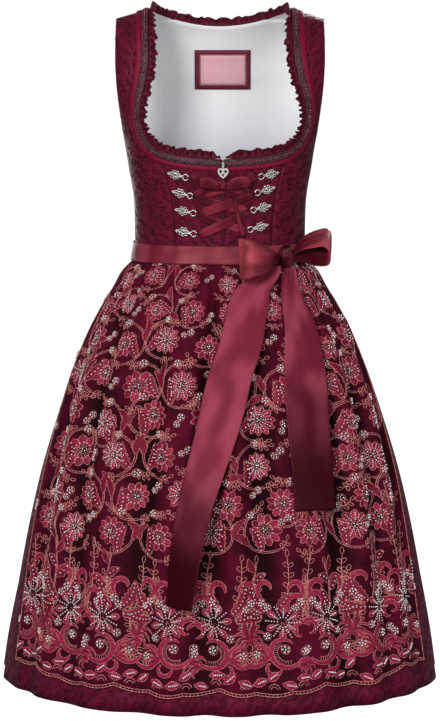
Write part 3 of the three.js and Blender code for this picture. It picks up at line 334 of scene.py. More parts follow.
def bodice_section(girth, behind):
    h = height_at(girth)
    bend = np.minimum(np.asarray(girth) / ARCH, math.pi / 2)
    arched = np.where(behind, ARCH_BACK, ARCH_FRONT) * np.sin(bend)
    half, front, back, power = lookups(BODICE_SECTIONS, "half front back power", h)
    depth = np.where(h < ARCH, arched, np.where(behind, back, front))
    return h, depth, half, power


def oval_shares(turn, power):
    """Point of a rounded oval at a turn from the centre line, as shares of width and depth."""
    sine, cosine = np.sin(turn), np.cos(turn)
    reach = (np.abs(sine) ** power + np.abs(cosine) ** power) ** (-1 / power)
    return sine * reach, cosine * reach


def turn_at_share(across, power):
    share = np.minimum(np.abs(across), 1)
    return np.arctan2(share, (1 - share ** power) ** (1 / power)) * np.sign(across)


def bodice_face(turn, girth, behind):
    h, depth, half, power = bodice_section(girth, behind)
    across, along = oval_shares(turn, power)
    x = half * across
    y = depth * along * np.where(behind, 1.0, -1.0)
    fade = np.maximum(0, 1 - h / SLOPE_FADE) ** 2
    slope = SHOULDER_SLOPE * np.maximum(0, np.abs(x) - NECK_POINT) * fade
    return np.stack([x, y, SHOULDER_TOP - h - slope], axis=-1)


def bodice_slopes(turn, girth, behind):
    step = 1e-3
    across = (bodice_face(turn + step, girth, behind) - bodice_face(turn - step, girth, behind)) / (2 * step)
    down = (bodice_face(turn, girth + step, behind) - bodice_face(turn, girth, behind)) / step
    return across, down


def bodice_normal(turn, girth, behind):
    across, down = bodice_slopes(turn, girth, behind)
    normal = unit(np.cross(down, across))
    return np.where(np.asarray(behind)[..., None], -normal, normal)


def bodice_point(turn, girth, behind, lift):
    """Point of the bodice's outer face moved out by a lift."""
    lift = np.asarray(lift, float)[..., None]
    return bodice_face(turn, girth, behind) + bodice_normal(turn, girth, behind) * lift


def shift_at(h):
    return CENTRE_SHIFT * smooth(np.asarray(h) / SHIFT_HEIGHT)


def turn_of(x, h, behind=False):
    """Turn of the place on the bodice at a distance from the centre plane."""
    _, _, half, power = bodice_section(girth_at(h), behind)
    return turn_at_share(x / half, power)


def cloth_point(x, h, lift, behind=False):
    """Point over the bodice at a distance from the centre plane and a height."""
    x, h = np.broadcast_arrays(np.asarray(x, float), np.asarray(h, float))
    return bodice_point(turn_of(x, h, behind), girth_at(h), behind, lift)


def armhole_turn(h, behind):
    """Turn of the armhole's edge or, below it, of the side seam."""
    safe = np.maximum(h, 0.5)
    _, depth, _, power = bodice_section(girth_at(safe), behind)
    level = (safe - ARMHOLE_BOTTOM / 2) / (ARMHOLE_BOTTOM / 2)
    reach = ARMHOLE_BACK if behind else ARMHOLE_FRONT
    along = np.minimum(reach * np.sqrt(np.maximum(0, 1 - level * level)) / depth, 1)
    turn = np.arctan2((1 - along ** power) ** (1 / power), along)
    return np.where(h >= ARMHOLE_BOTTOM, math.pi / 2, turn)


def front_edge_x(h, side):
    top = FRONT_SEAM["h"][0]
    x = np.where(h < top, lookup(NECK_SIDE, "x", h), lookup(FRONT_SEAM, "x", h))
    return side * x + shift_at(h)


def back_edge_x(h):
    seam = lookup(BACK_SEAM, "x", h)
    neck = NECK_POINT * np.sqrt(np.clip(1 - h / BACK_NECK, 0, 1))
    return np.where(h >= BACK_SEAM["h"][0], seam, neck)


def line_turn(line, h):
    """Turn of a line of the skirt's cloth: the front lines close up towards the hem."""
    narrowing = APRON_NARROWING * smooth((h - NARROWING_TOP) / (SKIRT_HEM - NARROWING_TOP))
    line = (np.asarray(line, float) + 180) % 360 - 180
    away = np.abs(line)
    reach = APRON_REACH * (1 - narrowing)
    outside = 180 - (180 - away) * (180 - reach) / (180 - APRON_REACH)
    turned = np.where(away <= APRON_REACH, away * (1 - narrowing), outside)
    return np.radians(np.sign(line) * turned)


def fold_depth(line, h):
    """How far the cloth lies inside the crests of the folds, with small uneven creases."""
    depth = np.zeros(np.broadcast(line, h).shape)
    left = mix(1, FOLD_AT_HEM, smooth((h - FOLD_DEEPEST) / (SKIRT_HEM - FOLD_DEEPEST)))
    for at, width, deep, start in zip(*(FOLDS[name] for name in ("at", "width", "depth", "from"))):
        gap = np.abs((line - at + 540) % 360 - 180)
        grown = np.sqrt(smooth((h - start) / (FOLD_DEEPEST - start)))
        valley = 0.5 + 0.5 * np.cos(math.pi * np.minimum(gap / width, 1))
        depth = depth + deep * grown * left * valley
    uneven = 0.8 + 0.2 * np.sin(0.37 * line + 1.3)
    gather = lookup(GATHERS, "depth", h) * uneven
    depth = depth + gather * (0.5 - 0.5 * np.cos(2 * math.pi * line / GATHER_PERIOD))
    radians = np.radians(line)
    crease = np.sin(11 * radians + 0.012 * h) * np.sin(17 * radians - 0.006 * h + 0.8)
    return depth + 1.1 * (1 + crease) * smooth((h - 430) / 200)


def skirt_outline(turn, h, lift):
    """Point of the skirt's outline at a turn, moved out level by a lift."""
    half, front, back, power = lookups(SKIRT_SECTIONS, "half front back power", h)
    depth = np.where(np.cos(turn) > 0, front, back)
    across, along = oval_shares(turn, power)
    level = np.stack([
        np.sign(across) * np.abs(across) ** (power - 1) / half,
        -np.sign(along) * np.abs(along) ** (power - 1) / depth,
        np.zeros_like(across),
    ], axis=-1)
    point = np.stack([half * across, -depth * along, SHOULDER_TOP - h + 0 * across], axis=-1)
    return point + unit(level) * np.asarray(lift, float)[..., None]


def skirt_point(line, h, lift):
    line, h = np.broadcast_arrays(np.asarray(line, float), np.asarray(h, float))
    return skirt_outline(line_turn(line, h), h, lift - fold_depth(line, h))


def skirt_normal(line, h, lift):
    step = 0.15
    across = skirt_point(line + step, h, lift) - skirt_point(line - step, h, lift)
    down = skirt_point(line, h + step, lift) - skirt_point(line, h - step, lift)
    return unit(np.cross(down, across))


def hem_rise(line):
    """How much higher the apron's hem lies at a line than in the middle."""
    return APRON_HEM_RISE * (line / APRON_REACH) ** 2


def apron_hem(line):
    """Height of the apron's scalloped edge at a line of the cloth."""
    hem = APRON_HEM - hem_rise(line)
    for width, depth in (LARGE_SCALLOP, SMALL_SCALLOP):
        hem = hem + depth * np.abs(np.sin(math.pi * line / width))
    return hem


# Meshes

def make_object(name, vertices, faces, materials, face_slots=None, uvs=None):
    """Object from vertices in millimetres and faces as an array, with UVs by vertex."""
    faces = np.asarray(faces, int)
    mesh = bpy.data.meshes.new(name)
    mesh.vertices.add(len(vertices))
    mesh.vertices.foreach_set("co", (np.asarray(vertices, float) * MM).ravel())
    corners = faces.shape[1]
    mesh.loops.add(faces.size)
    mesh.loops.foreach_set("vertex_index", faces.ravel())
    mesh.polygons.add(len(faces))
    mesh.polygons.foreach_set("loop_start", np.arange(len(faces)) * corners)
    mesh.polygons.foreach_set("use_smooth", np.ones(len(faces), bool))
    for material in materials:
        mesh.materials.append(material)
    if face_slots is not None:
        mesh.polygons.foreach_set("material_index", np.asarray(face_slots, int))
    if uvs is not None:
        layer = mesh.uv_layers.new(name="cloth")
        layer.data.foreach_set("uv", (np.asarray(uvs, float)[faces.ravel()] * MM).ravel())
    mesh.update(calc_edges=True)
    mesh.validate()
    piece = bpy.data.objects.new(name, mesh)
    bpy.context.scene.collection.objects.link(piece)
    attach(piece, BODY)
    return piece


def add_painted_shade(piece, share):
    """Stores how deep in the painted shade each point of a wall lies, from 0 to 1."""
    share = share.ravel()
    values = np.stack([share, 0 * share], axis=1)
    values = np.concatenate([values, values])
    index = np.empty(len(piece.data.loops), int)
    piece.data.loops.foreach_get("vertex_index", index)
    piece.data.uv_layers.new(name="folds").data.foreach_set("uv", values[index].ravel())


def grid_faces(rows, columns, start=0):
    """Quads of a grid of points, row by row."""
    r, c = np.meshgrid(np.arange(rows - 1), np.arange(columns - 1), indexing="ij")
    corner = start + r * columns + c
    return np.stack([corner, corner + columns, corner + columns + 1, corner + 1], axis=-1).reshape(-1, 4)


def grid_lengths(grid):
    """Cloth coordinates of a grid in millimetres: mean lengths across and down it."""
    across = np.linalg.norm(np.diff(grid, axis=1), axis=2).mean(axis=0)
    down = np.linalg.norm(np.diff(grid, axis=0), axis=2).mean(axis=1)
    u = np.concatenate(([0], np.cumsum(across)))
    v = np.concatenate(([0], np.cumsum(down)))
    return np.stack(np.meshgrid(u, v), axis=-1).reshape(-1, 2)


def wall(name, outer, inner, outside, inside=None, uv=None):
    """Closed thin wall between an outer and an inner grid of points."""
    rows, columns = outer.shape[:2]
    count = rows * columns
    front = grid_faces(rows, columns)
    back = grid_faces(rows, columns, count)[:, ::-1]
    ring = np.concatenate([
        np.arange(columns),
        np.arange(1, rows) * columns + columns - 1,
        np.arange(columns - 2, -1, -1) + (rows - 1) * columns,
        np.arange(rows - 2, 0, -1) * columns,
    ])
    after = np.roll(ring, -1)
    rim = np.stack([ring, after, after + count, ring + count], axis=1)
    faces = np.concatenate([front, back, rim])
    slots = np.concatenate([np.zeros(len(front)), np.ones(len(back)), np.zeros(len(rim))])
    vertices = np.concatenate([outer.reshape(-1, 3), inner.reshape(-1, 3)])
    flat = grid_lengths(outer) if uv is None else uv.reshape(-1, 2)
    piece = make_object(name, vertices, faces, [outside, inside or outside], slots,
                        np.concatenate([flat, flat]))
    face_out(piece)
    return piece


def face_out(piece):
    """Turns the faces of a closed mesh outwards."""
    mesh = piece.data
    points = np.empty(len(mesh.vertices) * 3)
    mesh.vertices.foreach_get("co", points)
    points = points.reshape(-1, 3)
    mesh.calc_loop_triangles()
    corners = np.empty(len(mesh.loop_triangles) * 3, int)
    mesh.loop_triangles.foreach_get("vertices", corners)
    a, b, c = (points[corners[i::3]] for i in range(3))
    if np.einsum("ij,ij->i", a, np.cross(b, c)).sum() < 0:
        mesh.flip_normals()


def thickened(name, grid, thickness, material):
    """Thin wall of even thickness on both sides of a grid of points."""
    normal = grid_normals(grid) * thickness / 2
    return wall(name, grid + normal, grid - normal, material)


def grid_normals(grid):
    down = np.gradient(grid, axis=0)
    across = np.gradient(grid, axis=1)
    return unit(np.cross(down, across))


def dress(node):
    """Puts a cloth in its solid's place by hiding the solid."""
    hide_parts(node)


# Bodice panels

def panel_grid(rows, columns, place, lift):
    """Grid of a bodice panel: place(h, share) gives the turn and girth of each point."""
    h = np.asarray(rows, float)[:, None] + np.zeros(columns)
    share = np.zeros((len(rows), 1)) + np.linspace(0, 1, columns)
    turn, girth, behind = place(h, share)
    return bodice_point(turn, girth, behind, lift(h, share))


def side_front_place(side):
    def place(h, share):
        inner = turn_of(front_edge_x(h, side), h)
        return mix(inner, side * armhole_turn(h, False), share), girth_at(h), False
    return place


def side_back_place(side):
    def place(h, share):
        inner = turn_of(side * back_edge_x(h), h, True)
        return mix(inner, side * armhole_turn(h, True), share), girth_at(h), True
    return place


def centre_front_place(side):
    def place(drop, share):
        reach = NECK_FRONT["x"][-1]
        top = lookup(NECK_FRONT, "h", mix(ZIP_HALF, reach, share))
        h = mix(top, PANEL_BOTTOM, drop)
        x = side * mix(ZIP_HALF, lookup(FRONT_SEAM, "x", h), share) + shift_at(h)
        return turn_of(x, h), girth_at(h), False
    return place


def centre_back_place(drop, share):
    reach = 2 * share - 1
    top = BACK_NECK * (1 - (reach * BACK_SEAM["x"][0] / NECK_POINT) ** 2)
    girth = mix(girth_at(top), girth_at(PANEL_BOTTOM), drop)
    h = height_at(girth)
    x = reach * back_edge_x(np.maximum(h, BACK_SEAM["h"][0]))
    return turn_of(x, h, True), girth, True


def seam_groove(width, depth=0.9):
    """Lift of a panel that dips into its seams on both sides and puckers softly beside them."""
    def lift(h, share):
        edge = np.minimum(share, 1 - share) * width
        pucker = 0.18 * np.sin(h * 0.9) * np.exp(-edge / 5)
        return -depth * np.exp(-(edge / 1.6) ** 2) + pucker
    return lift


def make_bodice(outside, inside):
    """The seven panels of the bodice, each as its own wall."""
    girths = height_at(np.linspace(0, girth_at(PANEL_BOTTOM), PANEL_ROWS))
    drops, back_drops = np.linspace(0, 1, FRONT_ROWS), np.linspace(0, 1, PANEL_ROWS)
    panels = []
    for side, name in ((-1, "left"), (1, "right")):
        panels.append(("bodice_front_" + name, drops, PANEL_COLUMNS, centre_front_place(side), 85))
        panels.append(("bodice_side_front_" + name, girths, PANEL_COLUMNS, side_front_place(side), 75))
        panels.append(("bodice_side_back_" + name, girths, PANEL_COLUMNS, side_back_place(side), 90))
    panels.append(("bodice_back", back_drops, BACK_COLUMNS, centre_back_place, 120))
    for node, levels, columns, place, width in panels:
        groove = seam_groove(width)
        outer = panel_grid(levels, columns, place, groove)
        inner = panel_grid(levels, columns, place, lambda h, s: groove(h, s) - BODICE_WALL)
        piece = wall(node + "_cloth", outer, inner, outside, inside)
        dress(node)


# Skirt and apron

def skirt_heights(top, last, count):
    """Heights from the waist down, closer together where the gathers are."""
    share = np.linspace(0, 1, count)[:, None]
    return top + (last - top) * (0.55 * share + 0.45 * share ** 2)


def cloth_uv(line, h):
    """Cloth coordinates in millimetres that run on without a seam across the skirt."""
    return np.stack(np.broadcast_arrays(np.radians(line) * CLOTH_RADIUS, h), axis=-1)


def make_skirt(brocade):
    h = skirt_heights(SKIRT_TOP + 0.2, SKIRT_HEM - 0.3, SKIRT_ROWS)
    for node, first in (("skirt_front", -90), ("skirt_back", 90)):
        line = np.linspace(first + SKIRT_GAP, first + 180 - SKIRT_GAP, SKIRT_COLUMNS)[None, :]
        outer = skirt_point(line, h, 0)
        piece = wall(node + "_cloth", outer, skirt_point(line, h, -SKIRT_WALL), brocade, uv=cloth_uv(line, h))
        add_painted_shade(piece, fold_depth(line, h) / DEEPEST_FOLD)
        dress(node)


def make_apron(net):
    line = np.linspace(-APRON_REACH, APRON_REACH, APRON_COLUMNS)[None, :]
    h = skirt_heights(SKIRT_TOP + 0.3, apron_hem(line), APRON_ROWS)
    outer = skirt_point(line, h, APRON_FACE)
    piece = wall("apron_net", outer, skirt_point(line, h, APRON_LIFT), net, uv=cloth_uv(line, h))
    add_painted_shade(piece, fold_depth(line, h) / DEEPEST_FOLD)
    dress("apron")


# Materials

class Finish:
    """Node-based material with short calls for its textures."""

    def __init__(self, name, roughness=0.6, metallic=0.0, specular=0.4, sheen=0.0, anisotropic=0.0,
                 coat=0.0, tint=(1, 1, 1)):
        self.material = bpy.data.materials.new(name)
        self.material.use_nodes = True
        self.tree = self.material.node_tree
        self.shader = self.tree.nodes["Principled BSDF"]
        for socket, value in (
                ("Roughness", roughness), ("Metallic", metallic), ("Specular IOR Level", specular),
                ("Specular Tint", (*tint, 1)), ("Sheen Weight", sheen), ("Sheen Roughness", SHEEN_ROUGHNESS),
                ("Anisotropic", anisotropic), ("Coat Weight", coat)):
            self.set(socket, value)

    def set(self, socket, value):
        self.shader.inputs[socket].default_value = value

    def node(self, kind, inputs=None, **settings):
        made = self.tree.nodes.new("ShaderNode" + kind)
        for name, value in settings.items():
            setattr(made, name, value)
        for name, value in (inputs or {}).items():
            self.feed(made.inputs[name], value)
        return made

    def feed(self, socket, value):
        if isinstance(value, bpy.types.NodeSocket):
            self.tree.links.new(value, socket)
        else:
            socket.default_value = value

    def cloth(self, across=1.0, down=1.0, turn=0.0):
        """Cloth coordinates in metres, scaled and turned."""
        place = self.node("UVMap", uv_map="cloth").outputs["UV"]
        return self.placed(place, across, down, turn)

    def space(self, scale=1.0):
        place = self.node("TexCoord").outputs["Object"]
        return self.placed(place, scale, scale, 0, scale)

    def folds(self):
        """How deep in the painted shade the cloth lies, as stored on it: in its folds, or on a bow's loops."""
        place = self.node("UVMap", uv_map="folds").outputs["UV"]
        return self.node("SeparateXYZ", {"Vector": place}).outputs["X"]

    def placed(self, place, across, down, turn, up=1.0):
        mapped = self.node("Mapping", {"Vector": place, "Scale": (across, down, up), "Rotation": (0, 0, turn)})
        return mapped.outputs["Vector"]

    def noise(self, place, scale, detail=3.0, roughness=0.5):
        return self.node("TexNoise", {"Vector": place, "Scale": scale, "Detail": detail,
                                      "Roughness": roughness}).outputs["Fac"]

    def cells(self, place, scale, feature="F1", randomness=1.0):
        return self.node("TexVoronoi", {"Vector": place, "Scale": scale, "Randomness": randomness},
                         feature=feature).outputs["Distance"]

    def bands(self, place, scale, distortion=0.0, direction="X"):
        return self.node("TexWave", {"Vector": place, "Scale": scale, "Distortion": distortion},
                         bands_direction=direction).outputs["Fac"]

    def maths(self, operation, a, b=0.0):
        made = self.node("Math", operation=operation)
        self.feed(made.inputs[0], a)
        self.feed(made.inputs[1], b)
        return made.outputs[0]

    def between(self, value, low, high, start=0.0, end=1.0):
        """Value taken smoothly from one range to another."""
        return self.node("MapRange", {"Value": value, "From Min": low, "From Max": high,
                                      "To Min": start, "To Max": end},
                         interpolation_type="SMOOTHSTEP").outputs["Result"]

    def colour(self, share, first, second):
        made = self.node("Mix", data_type="RGBA")
        self.feed(made.inputs[0], share)
        self.feed(made.inputs[6], colour_of(first) if isinstance(first, str) else first)
        self.feed(made.inputs[7], colour_of(second) if isinstance(second, str) else second)
        return made.outputs[2]

    def paint(self, colour):
        self.feed(self.shader.inputs["Base Color"], colour)

    def height(self):
        return self.node("SeparateXYZ", {"Vector": self.space()}).outputs["Z"]

    def clouds(self, place, scale, detail=3.0, roughness=0.5):
        """Soft patches between 0 and 1."""
        return self.between(self.noise(place, scale, detail, roughness), 0.35, 0.65)

    def rough(self, value):
        self.feed(self.shader.inputs["Roughness"], value)

    def bump(self, height, distance, strength=1.0, under=None):
        made = self.node("Bump", {"Height": height, "Distance": distance, "Strength": strength})
        if under is not None:
            self.feed(made.inputs["Normal"], under)
        self.feed(self.shader.inputs["Normal"], made.outputs["Normal"])
        return made.outputs["Normal"]


def colour_of(code):
    """Linear colour with alpha from a six-figure code."""
    parts = [int(code[i:i + 2], 16) / 255 for i in (0, 2, 4)]
    linear = [p / 12.92 if p <= 0.04045 else ((p + 0.055) / 1.055) ** 2.4 for p in parts]
    return (*linear, 1.0)


def weave(finish, place, pitch, strength=0.25, under=None):
    """Plain weave of crossing threads at a pitch in metres."""
    scale = 1 / (2 * pitch)
    warp = finish.bands(place, scale)
    weft = finish.bands(place, scale, direction="Y")
    return finish.bump(finish.maths("MULTIPLY", warp, weft), pitch * 0.4, strength, under)


def damask(finish, place, size):
    """Share of a tone-on-tone leaf and flower ground, with motifs of a size in metres."""
    scale = 1 / size
    bend = finish.noise(place, scale * 1.3, 2.0)
    petals = finish.cells(place, scale * 1.6, "SMOOTH_F1")
    leaves = finish.bands(place, scale * 0.35, 9.0, "DIAGONAL")
    flower = finish.between(finish.maths("ADD", petals, finish.maths("MULTIPLY", bend, 0.5)), 0.55, 0.68)
    leaf = finish.between(finish.maths("MULTIPLY", leaves, bend), 0.3, 0.38)
    return finish.maths("MAXIMUM", finish.maths("SUBTRACT", 1.0, flower), leaf)


def figured_finish(name, size, clouds, fleck, shares, colours, shaded):
    """Tone-on-tone woven cloth: a figured ground in cloudy tones with small flecks."""
    finish = Finish(name, specular=0.35, tint=RED_SHINE)
    place = finish.cloth()
    motif = damask(finish, place, size)
    cloudy = finish.clouds(place, *clouds)
    scale, detail, low, high = fleck
    flecks = finish.between(finish.noise(place, scale, detail), low, high)
    ground = finish.colour(cloudy, *colours[:2])
    figure = finish.colour(cloudy, *colours[2:4])
    base = finish.colour(finish.maths("MULTIPLY", motif, shares[0]), ground, figure)
    base = finish.colour(finish.maths("MULTIPLY", flecks, shares[1]), base, colours[4])
    if shaded:
        # painted shade: the cloth darkens towards the bottom of its folds
        base = finish.colour(finish.between(finish.folds(), 0.1, 0.9, 0.0, 0.7), base, FOLD_SHADE)
    finish.paint(base)
    finish.rough(finish.between(motif, 0, 1, 0.7, 0.42))
    relief = finish.bump(motif, 0.0003, 0.6)
    weave(finish, place, 0.0006, 0.3, relief)
    return finish.material


def satin_finish(name, light, dark, fade=None, gloss=0.45):
    """Satin with broad soft bands of painted sheen in its colour; a long tail turns from light to dark between
    two heights as painted shade, and painted shade stored on a ribbon darkens it.
    """
    finish = Finish(name, 0.4, specular=gloss, anisotropic=0.5, tint=RED_SHINE)
    # painted sheen: soft patches run the colour from dark to light in place of the satin's shine
    cloudy = finish.between(finish.noise(finish.cloth(1.0, 0.45), 26.0, 1.0), 0.38, 0.62)
    shine = finish.colour(cloudy, dark, light)
    if fade:
        # painted shade: the tail darkens downwards between two heights, with a little noise
        level = finish.height()
        drift = finish.maths("MULTIPLY", finish.noise(finish.space(), 9.0, 1.0), 0.12)
        lit = finish.between(finish.maths("ADD", level, drift), *fade)
        shine = finish.colour(lit, SATIN_SHADE, shine)
    # painted shade: the share stored on the ribbon darkens it towards the shade colour
    finish.paint(finish.colour(finish.between(finish.folds(), 0.0, 1.0, 0.0, 0.9), shine, SATIN_SHADE))
    threads = finish.bands(finish.cloth(), 900.0, 0.5, "Y")
    crease = finish.noise(finish.cloth(40.0, 12.0), 1.0, 3.0)
    relief = finish.bump(crease, 0.0008, 0.35)
    finish.bump(threads, 0.00008, 0.2, relief)
    return finish.material


def lining_finish():
    finish = Finish("lining", 0.62, specular=0.3, sheen=0.1)
    place = finish.cloth()
    # painted light and shade: the lining is grey at the bottom and turns white towards the top
    painted_light_share = finish.between(finish.height(), *LINING_LIGHT)
    mottled = finish.colour(finish.noise(place, 10.0, 3.0), "f8f9fb", "ffffff")
    finish.paint(finish.colour(painted_light_share, "cdd0d5", mottled))
    weave(finish, place, 0.0005, 0.25)
    return finish.material


def net_finish():
    """Fine dark net: hexagonal holes show as darker dots between the threads."""
    finish = Finish("apron_net", 0.75, specular=0.2, tint=RED_SHINE)
    place = finish.cloth()
    hole = finish.cells(place, 620.0, "DISTANCE_TO_EDGE", 0.15)
    threads = finish.between(hole, 0.08, 0.22)
    cloudy = finish.clouds(place, 16.0, 5.0, 0.62)
    under = finish.colour(cloudy, "1e020a", "44061a")
    thread = finish.colour(cloudy, "42071b", "720f33")
    base = finish.colour(threads, thread, under)
    # painted shade in the folds of the net
    finish.paint(finish.colour(finish.between(finish.folds(), 0.06, 0.68, 0.0, 0.97), base, FOLD_SHADE))
    finish.bump(threads, 0.0002, 0.4)
    return finish.material


def silver_finish():
    finish = Finish("silver", 0.3, metallic=0.6)
    place = finish.space(120.0)
    wear = finish.noise(place, 3.0, 4.0)
    finish.paint(finish.colour(finish.between(wear, 0.35, 0.65), "c9c6c2", "fbfaf8"))
    finish.rough(finish.between(wear, 0.3, 0.7, 0.42, 0.22))
    finish.bump(wear, 0.0001, 0.3)
    return finish.material


def plain_finish(name, first, second, roughness=0.5, scale=400.0, **settings):
    finish = Finish(name, roughness, **settings)
    grain = finish.noise(finish.space(), scale, 3.0)
    finish.paint(finish.colour(finish.between(grain, 0.35, 0.65), first, second))
    finish.bump(grain, 0.0001, 0.3)
    return finish.material


# Stage

def make_stage():
    scene = bpy.context.scene
    scene.view_settings.view_transform = "Standard"
    world = bpy.data.worlds.new("studio")
    scene.world = world
    world.use_nodes = True
    tree = world.node_tree
    backdrop = tree.nodes["Background"]
    backdrop.inputs["Color"].default_value = (1, 1, 1, 1)
    backdrop.inputs["Strength"].default_value = 1.0
    dim = tree.nodes.new("ShaderNodeBackground")
    dim.inputs["Color"].default_value = (0.95, 0.97, 1.0, 1)
    dim.inputs["Strength"].default_value = WORLD_LIGHT
    choice = tree.nodes.new("ShaderNodeMixShader")
    rays = tree.nodes.new("ShaderNodeLightPath")
    tree.links.new(rays.outputs["Is Camera Ray"], choice.inputs[0])
    tree.links.new(dim.outputs[0], choice.inputs[1])
    tree.links.new(backdrop.outputs[0], choice.inputs[2])
    tree.links.new(choice.outputs[0], tree.nodes["World Output"].inputs["Surface"])
    make_floor()
    for name, place, size, power in LIGHTS:
        make_light(name, place, size, power)
    make_camera()


def make_floor():
    corners = np.array([(-1, -1), (1, -1), (1, 1), (-1, 1)]) * FLOOR_HALF / MM
    points = [(x, y, FLOOR_LEVEL / MM) for x, y in corners]
    finish = Finish("floor", 0.9, specular=0.1)
    grain = finish.noise(finish.space(), 3.0, 2.0)
    finish.paint(finish.colour(grain, "7d7d7e", "828282"))
    finish.set("Emission Color", (1, 1, 1, 1))
    finish.set("Emission Strength", FLOOR_GLOW)
    floor = make_object("floor", points, [(0, 1, 2, 3)], [finish.material])
    floor.visible_diffuse = False
    floor.visible_glossy = False


def make_light(name, place, size, power):
    light = bpy.data.lights.new(name, "AREA")
    light.energy = power
    light.size = size
    lamp = bpy.data.objects.new(name, light)
    lamp.location = place
    aim = np.array(LIGHT_AIM) - np.array(place)
    yaw = math.atan2(aim[0], aim[1])
    pitch = math.atan2(aim[2], math.hypot(aim[0], aim[1]))
    lamp.rotation_euler = (math.pi / 2 + pitch, 0, -yaw)
    bpy.context.scene.collection.objects.link(lamp)


def make_camera():
    data = bpy.data.cameras.new("camera")
    data.sensor_width = SENSOR
    data.lens = CAMERA_LENS
    camera = bpy.data.objects.new("camera", data)
    camera.location = CAMERA_PLACE
    camera.rotation_euler = (math.radians(90 - CAMERA_PITCH), 0, 0)
    bpy.context.scene.collection.objects.link(camera)
    bpy.context.scene.camera = camera


# Small shapes gathered into one mesh

def bead_shape():
    """Round bead of 24 triangles on the unit sphere."""
    turn = np.linspace(0, 2 * math.pi, BEAD_SIDES, endpoint=False)
    rings = [np.stack([0.9 * np.cos(turn + shift), 0.9 * np.sin(turn + shift), 0 * turn + height], axis=1)
             for shift, height in ((0.0, -0.44), (math.pi / BEAD_SIDES, 0.44))]
    points = np.concatenate([*rings, [(0, 0, -1), (0, 0, 1)]])
    faces = []
    for n in range(BEAD_SIDES):
        after = (n + 1) % BEAD_SIDES
        low, high = (n, after), (BEAD_SIDES + n, BEAD_SIDES + after)
        faces += [(low[0], low[1], high[0]), (low[1], high[1], high[0])]
        faces += [(low[1], low[0], 2 * BEAD_SIDES), (high[0], high[1], 2 * BEAD_SIDES + 1)]
    return points, np.array(faces)


def steps_along(points, closed):
    """Direction of a line of points at each of them."""
    if closed:
        return np.roll(points, -1, axis=0) - np.roll(points, 1, axis=0)
    return np.gradient(points, axis=0)


class Heap:
    """Gathers many small shapes into one object."""

    def __init__(self):
        self.vertices = []
        self.faces = []
        self.slots = []
        self.count = 0

    def add(self, vertices, faces, slot=0):
        vertices = np.asarray(vertices, float).reshape(-1, 3)
        faces = np.asarray(faces, int)
        if faces.shape[1] == 4:
            faces = np.concatenate([faces[:, [0, 1, 2]], faces[:, [0, 2, 3]]])
        self.vertices.append(vertices)
        self.faces.append(faces + self.count)
        self.slots.append(np.full(len(faces), slot))
        self.count += len(vertices)

    def beads(self, centres, radii, slot=0):
        """Round beads of given radii."""
        centres = np.asarray(centres, float).reshape(-1, 3)
        if not len(centres):
            return
        points, faces = bead_shape()
        radii = np.broadcast_to(np.asarray(radii, float).reshape(-1, 1), (len(centres), 1))
        vertices = centres[:, None, :] + points[None] * radii[:, None, :]
        steps = np.arange(len(centres))[:, None, None] * len(points)
        self.add(vertices, (faces[None] + steps).reshape(-1, 3), slot)

    def tube(self, points, radius, normals, sides=5, closed=False, flat=1.0, slot=0):
        """Cord along a line of points; flat squashes it along the normals."""
        points = np.asarray(points, float)
        count = len(points)
        tangent = unit(steps_along(points, closed))
        side = unit(np.cross(tangent, np.broadcast_to(normals, points.shape)))
        up = np.cross(side, tangent)
        angle = np.arange(sides) * 2 * math.pi / sides
        radius = np.broadcast_to(np.asarray(radius, float), (count,))[:, None, None]
        ring = np.cos(angle)[None, :, None] * side[:, None] + flat * np.sin(angle)[None, :, None] * up[:, None]
        vertices = points[:, None] + ring * radius
        rows = np.arange(count if closed else count - 1)[:, None]
        columns = np.arange(sides)[None, :]
        here = rows * sides + columns
        beside = rows * sides + (columns + 1) % sides
        below = ((rows + 1) % count) * sides
        faces = np.stack([here, beside, below + (columns + 1) % sides, below + columns], axis=-1)
        self.add(vertices, faces.reshape(-1, 4), slot)

    def build(self, name, materials):
        faces = np.concatenate(self.faces)
        vertices = np.concatenate(self.vertices)
        slots = np.concatenate(self.slots)
        return make_object(name, vertices, faces, materials, slots, vertices[:, [0, 2]])


def front_frame(x, h, lift, turn=0.0):
    """Place and axes on the front of the bodice: x across, y up the cloth, z out."""
    place = cloth_point(x, h, lift)
    normal = bodice_normal(turn_of(np.asarray(float(x)), np.asarray(float(h))), girth_at(h), np.asarray(False))
    across = unit(np.array([1.0, 0, 0]) - normal * normal[0])
    up = np.cross(normal, across)
    cosine, sine = math.cos(turn), math.sin(turn)
    return place, np.stack([across * cosine + up * sine, up * cosine - across * sine, normal])


def placed(points, frame_here):
    place, axes = frame_here
    return np.asarray(points, float) @ axes + place


# Neckline

def resampled(turn, girth, behind, count):
    """Evenly spaced places of one stretch of the neckline."""
    points = bodice_point(turn, girth, behind, np.zeros_like(turn))
    run = np.concatenate(([0], np.cumsum(np.linalg.norm(np.diff(points, axis=0), axis=1))))
    target = np.linspace(0, run[-1], count)
    return np.interp(target, run, turn), np.interp(target, run, girth), run[-1]


def neck_stretches(start):
    def front(side):
        x = np.linspace(start, NECK_FRONT["x"][-1], 200)
        low = lookup(NECK_FRONT, "h", x)
        corner = NECK_FRONT["h"][-1]
        girth = np.linspace(girth_at(corner), 0, 400)[1:]
        h = np.minimum(height_at(girth), corner - 0.01)
        turn = np.concatenate([turn_of(side * x + shift_at(low), low), turn_of(front_edge_x(h, side), h)])
        return turn, np.concatenate([girth_at(low), girth]), False
    x = NECK_POINT * np.cos(math.pi * np.linspace(0, 1, 400))
    h = BACK_NECK * (1 - (x / NECK_POINT) ** 2)
    left = front(-1)
    return [front(1), (turn_of(x, h, True), girth_at(h), True), (left[0][::-1], left[1][::-1], False)]


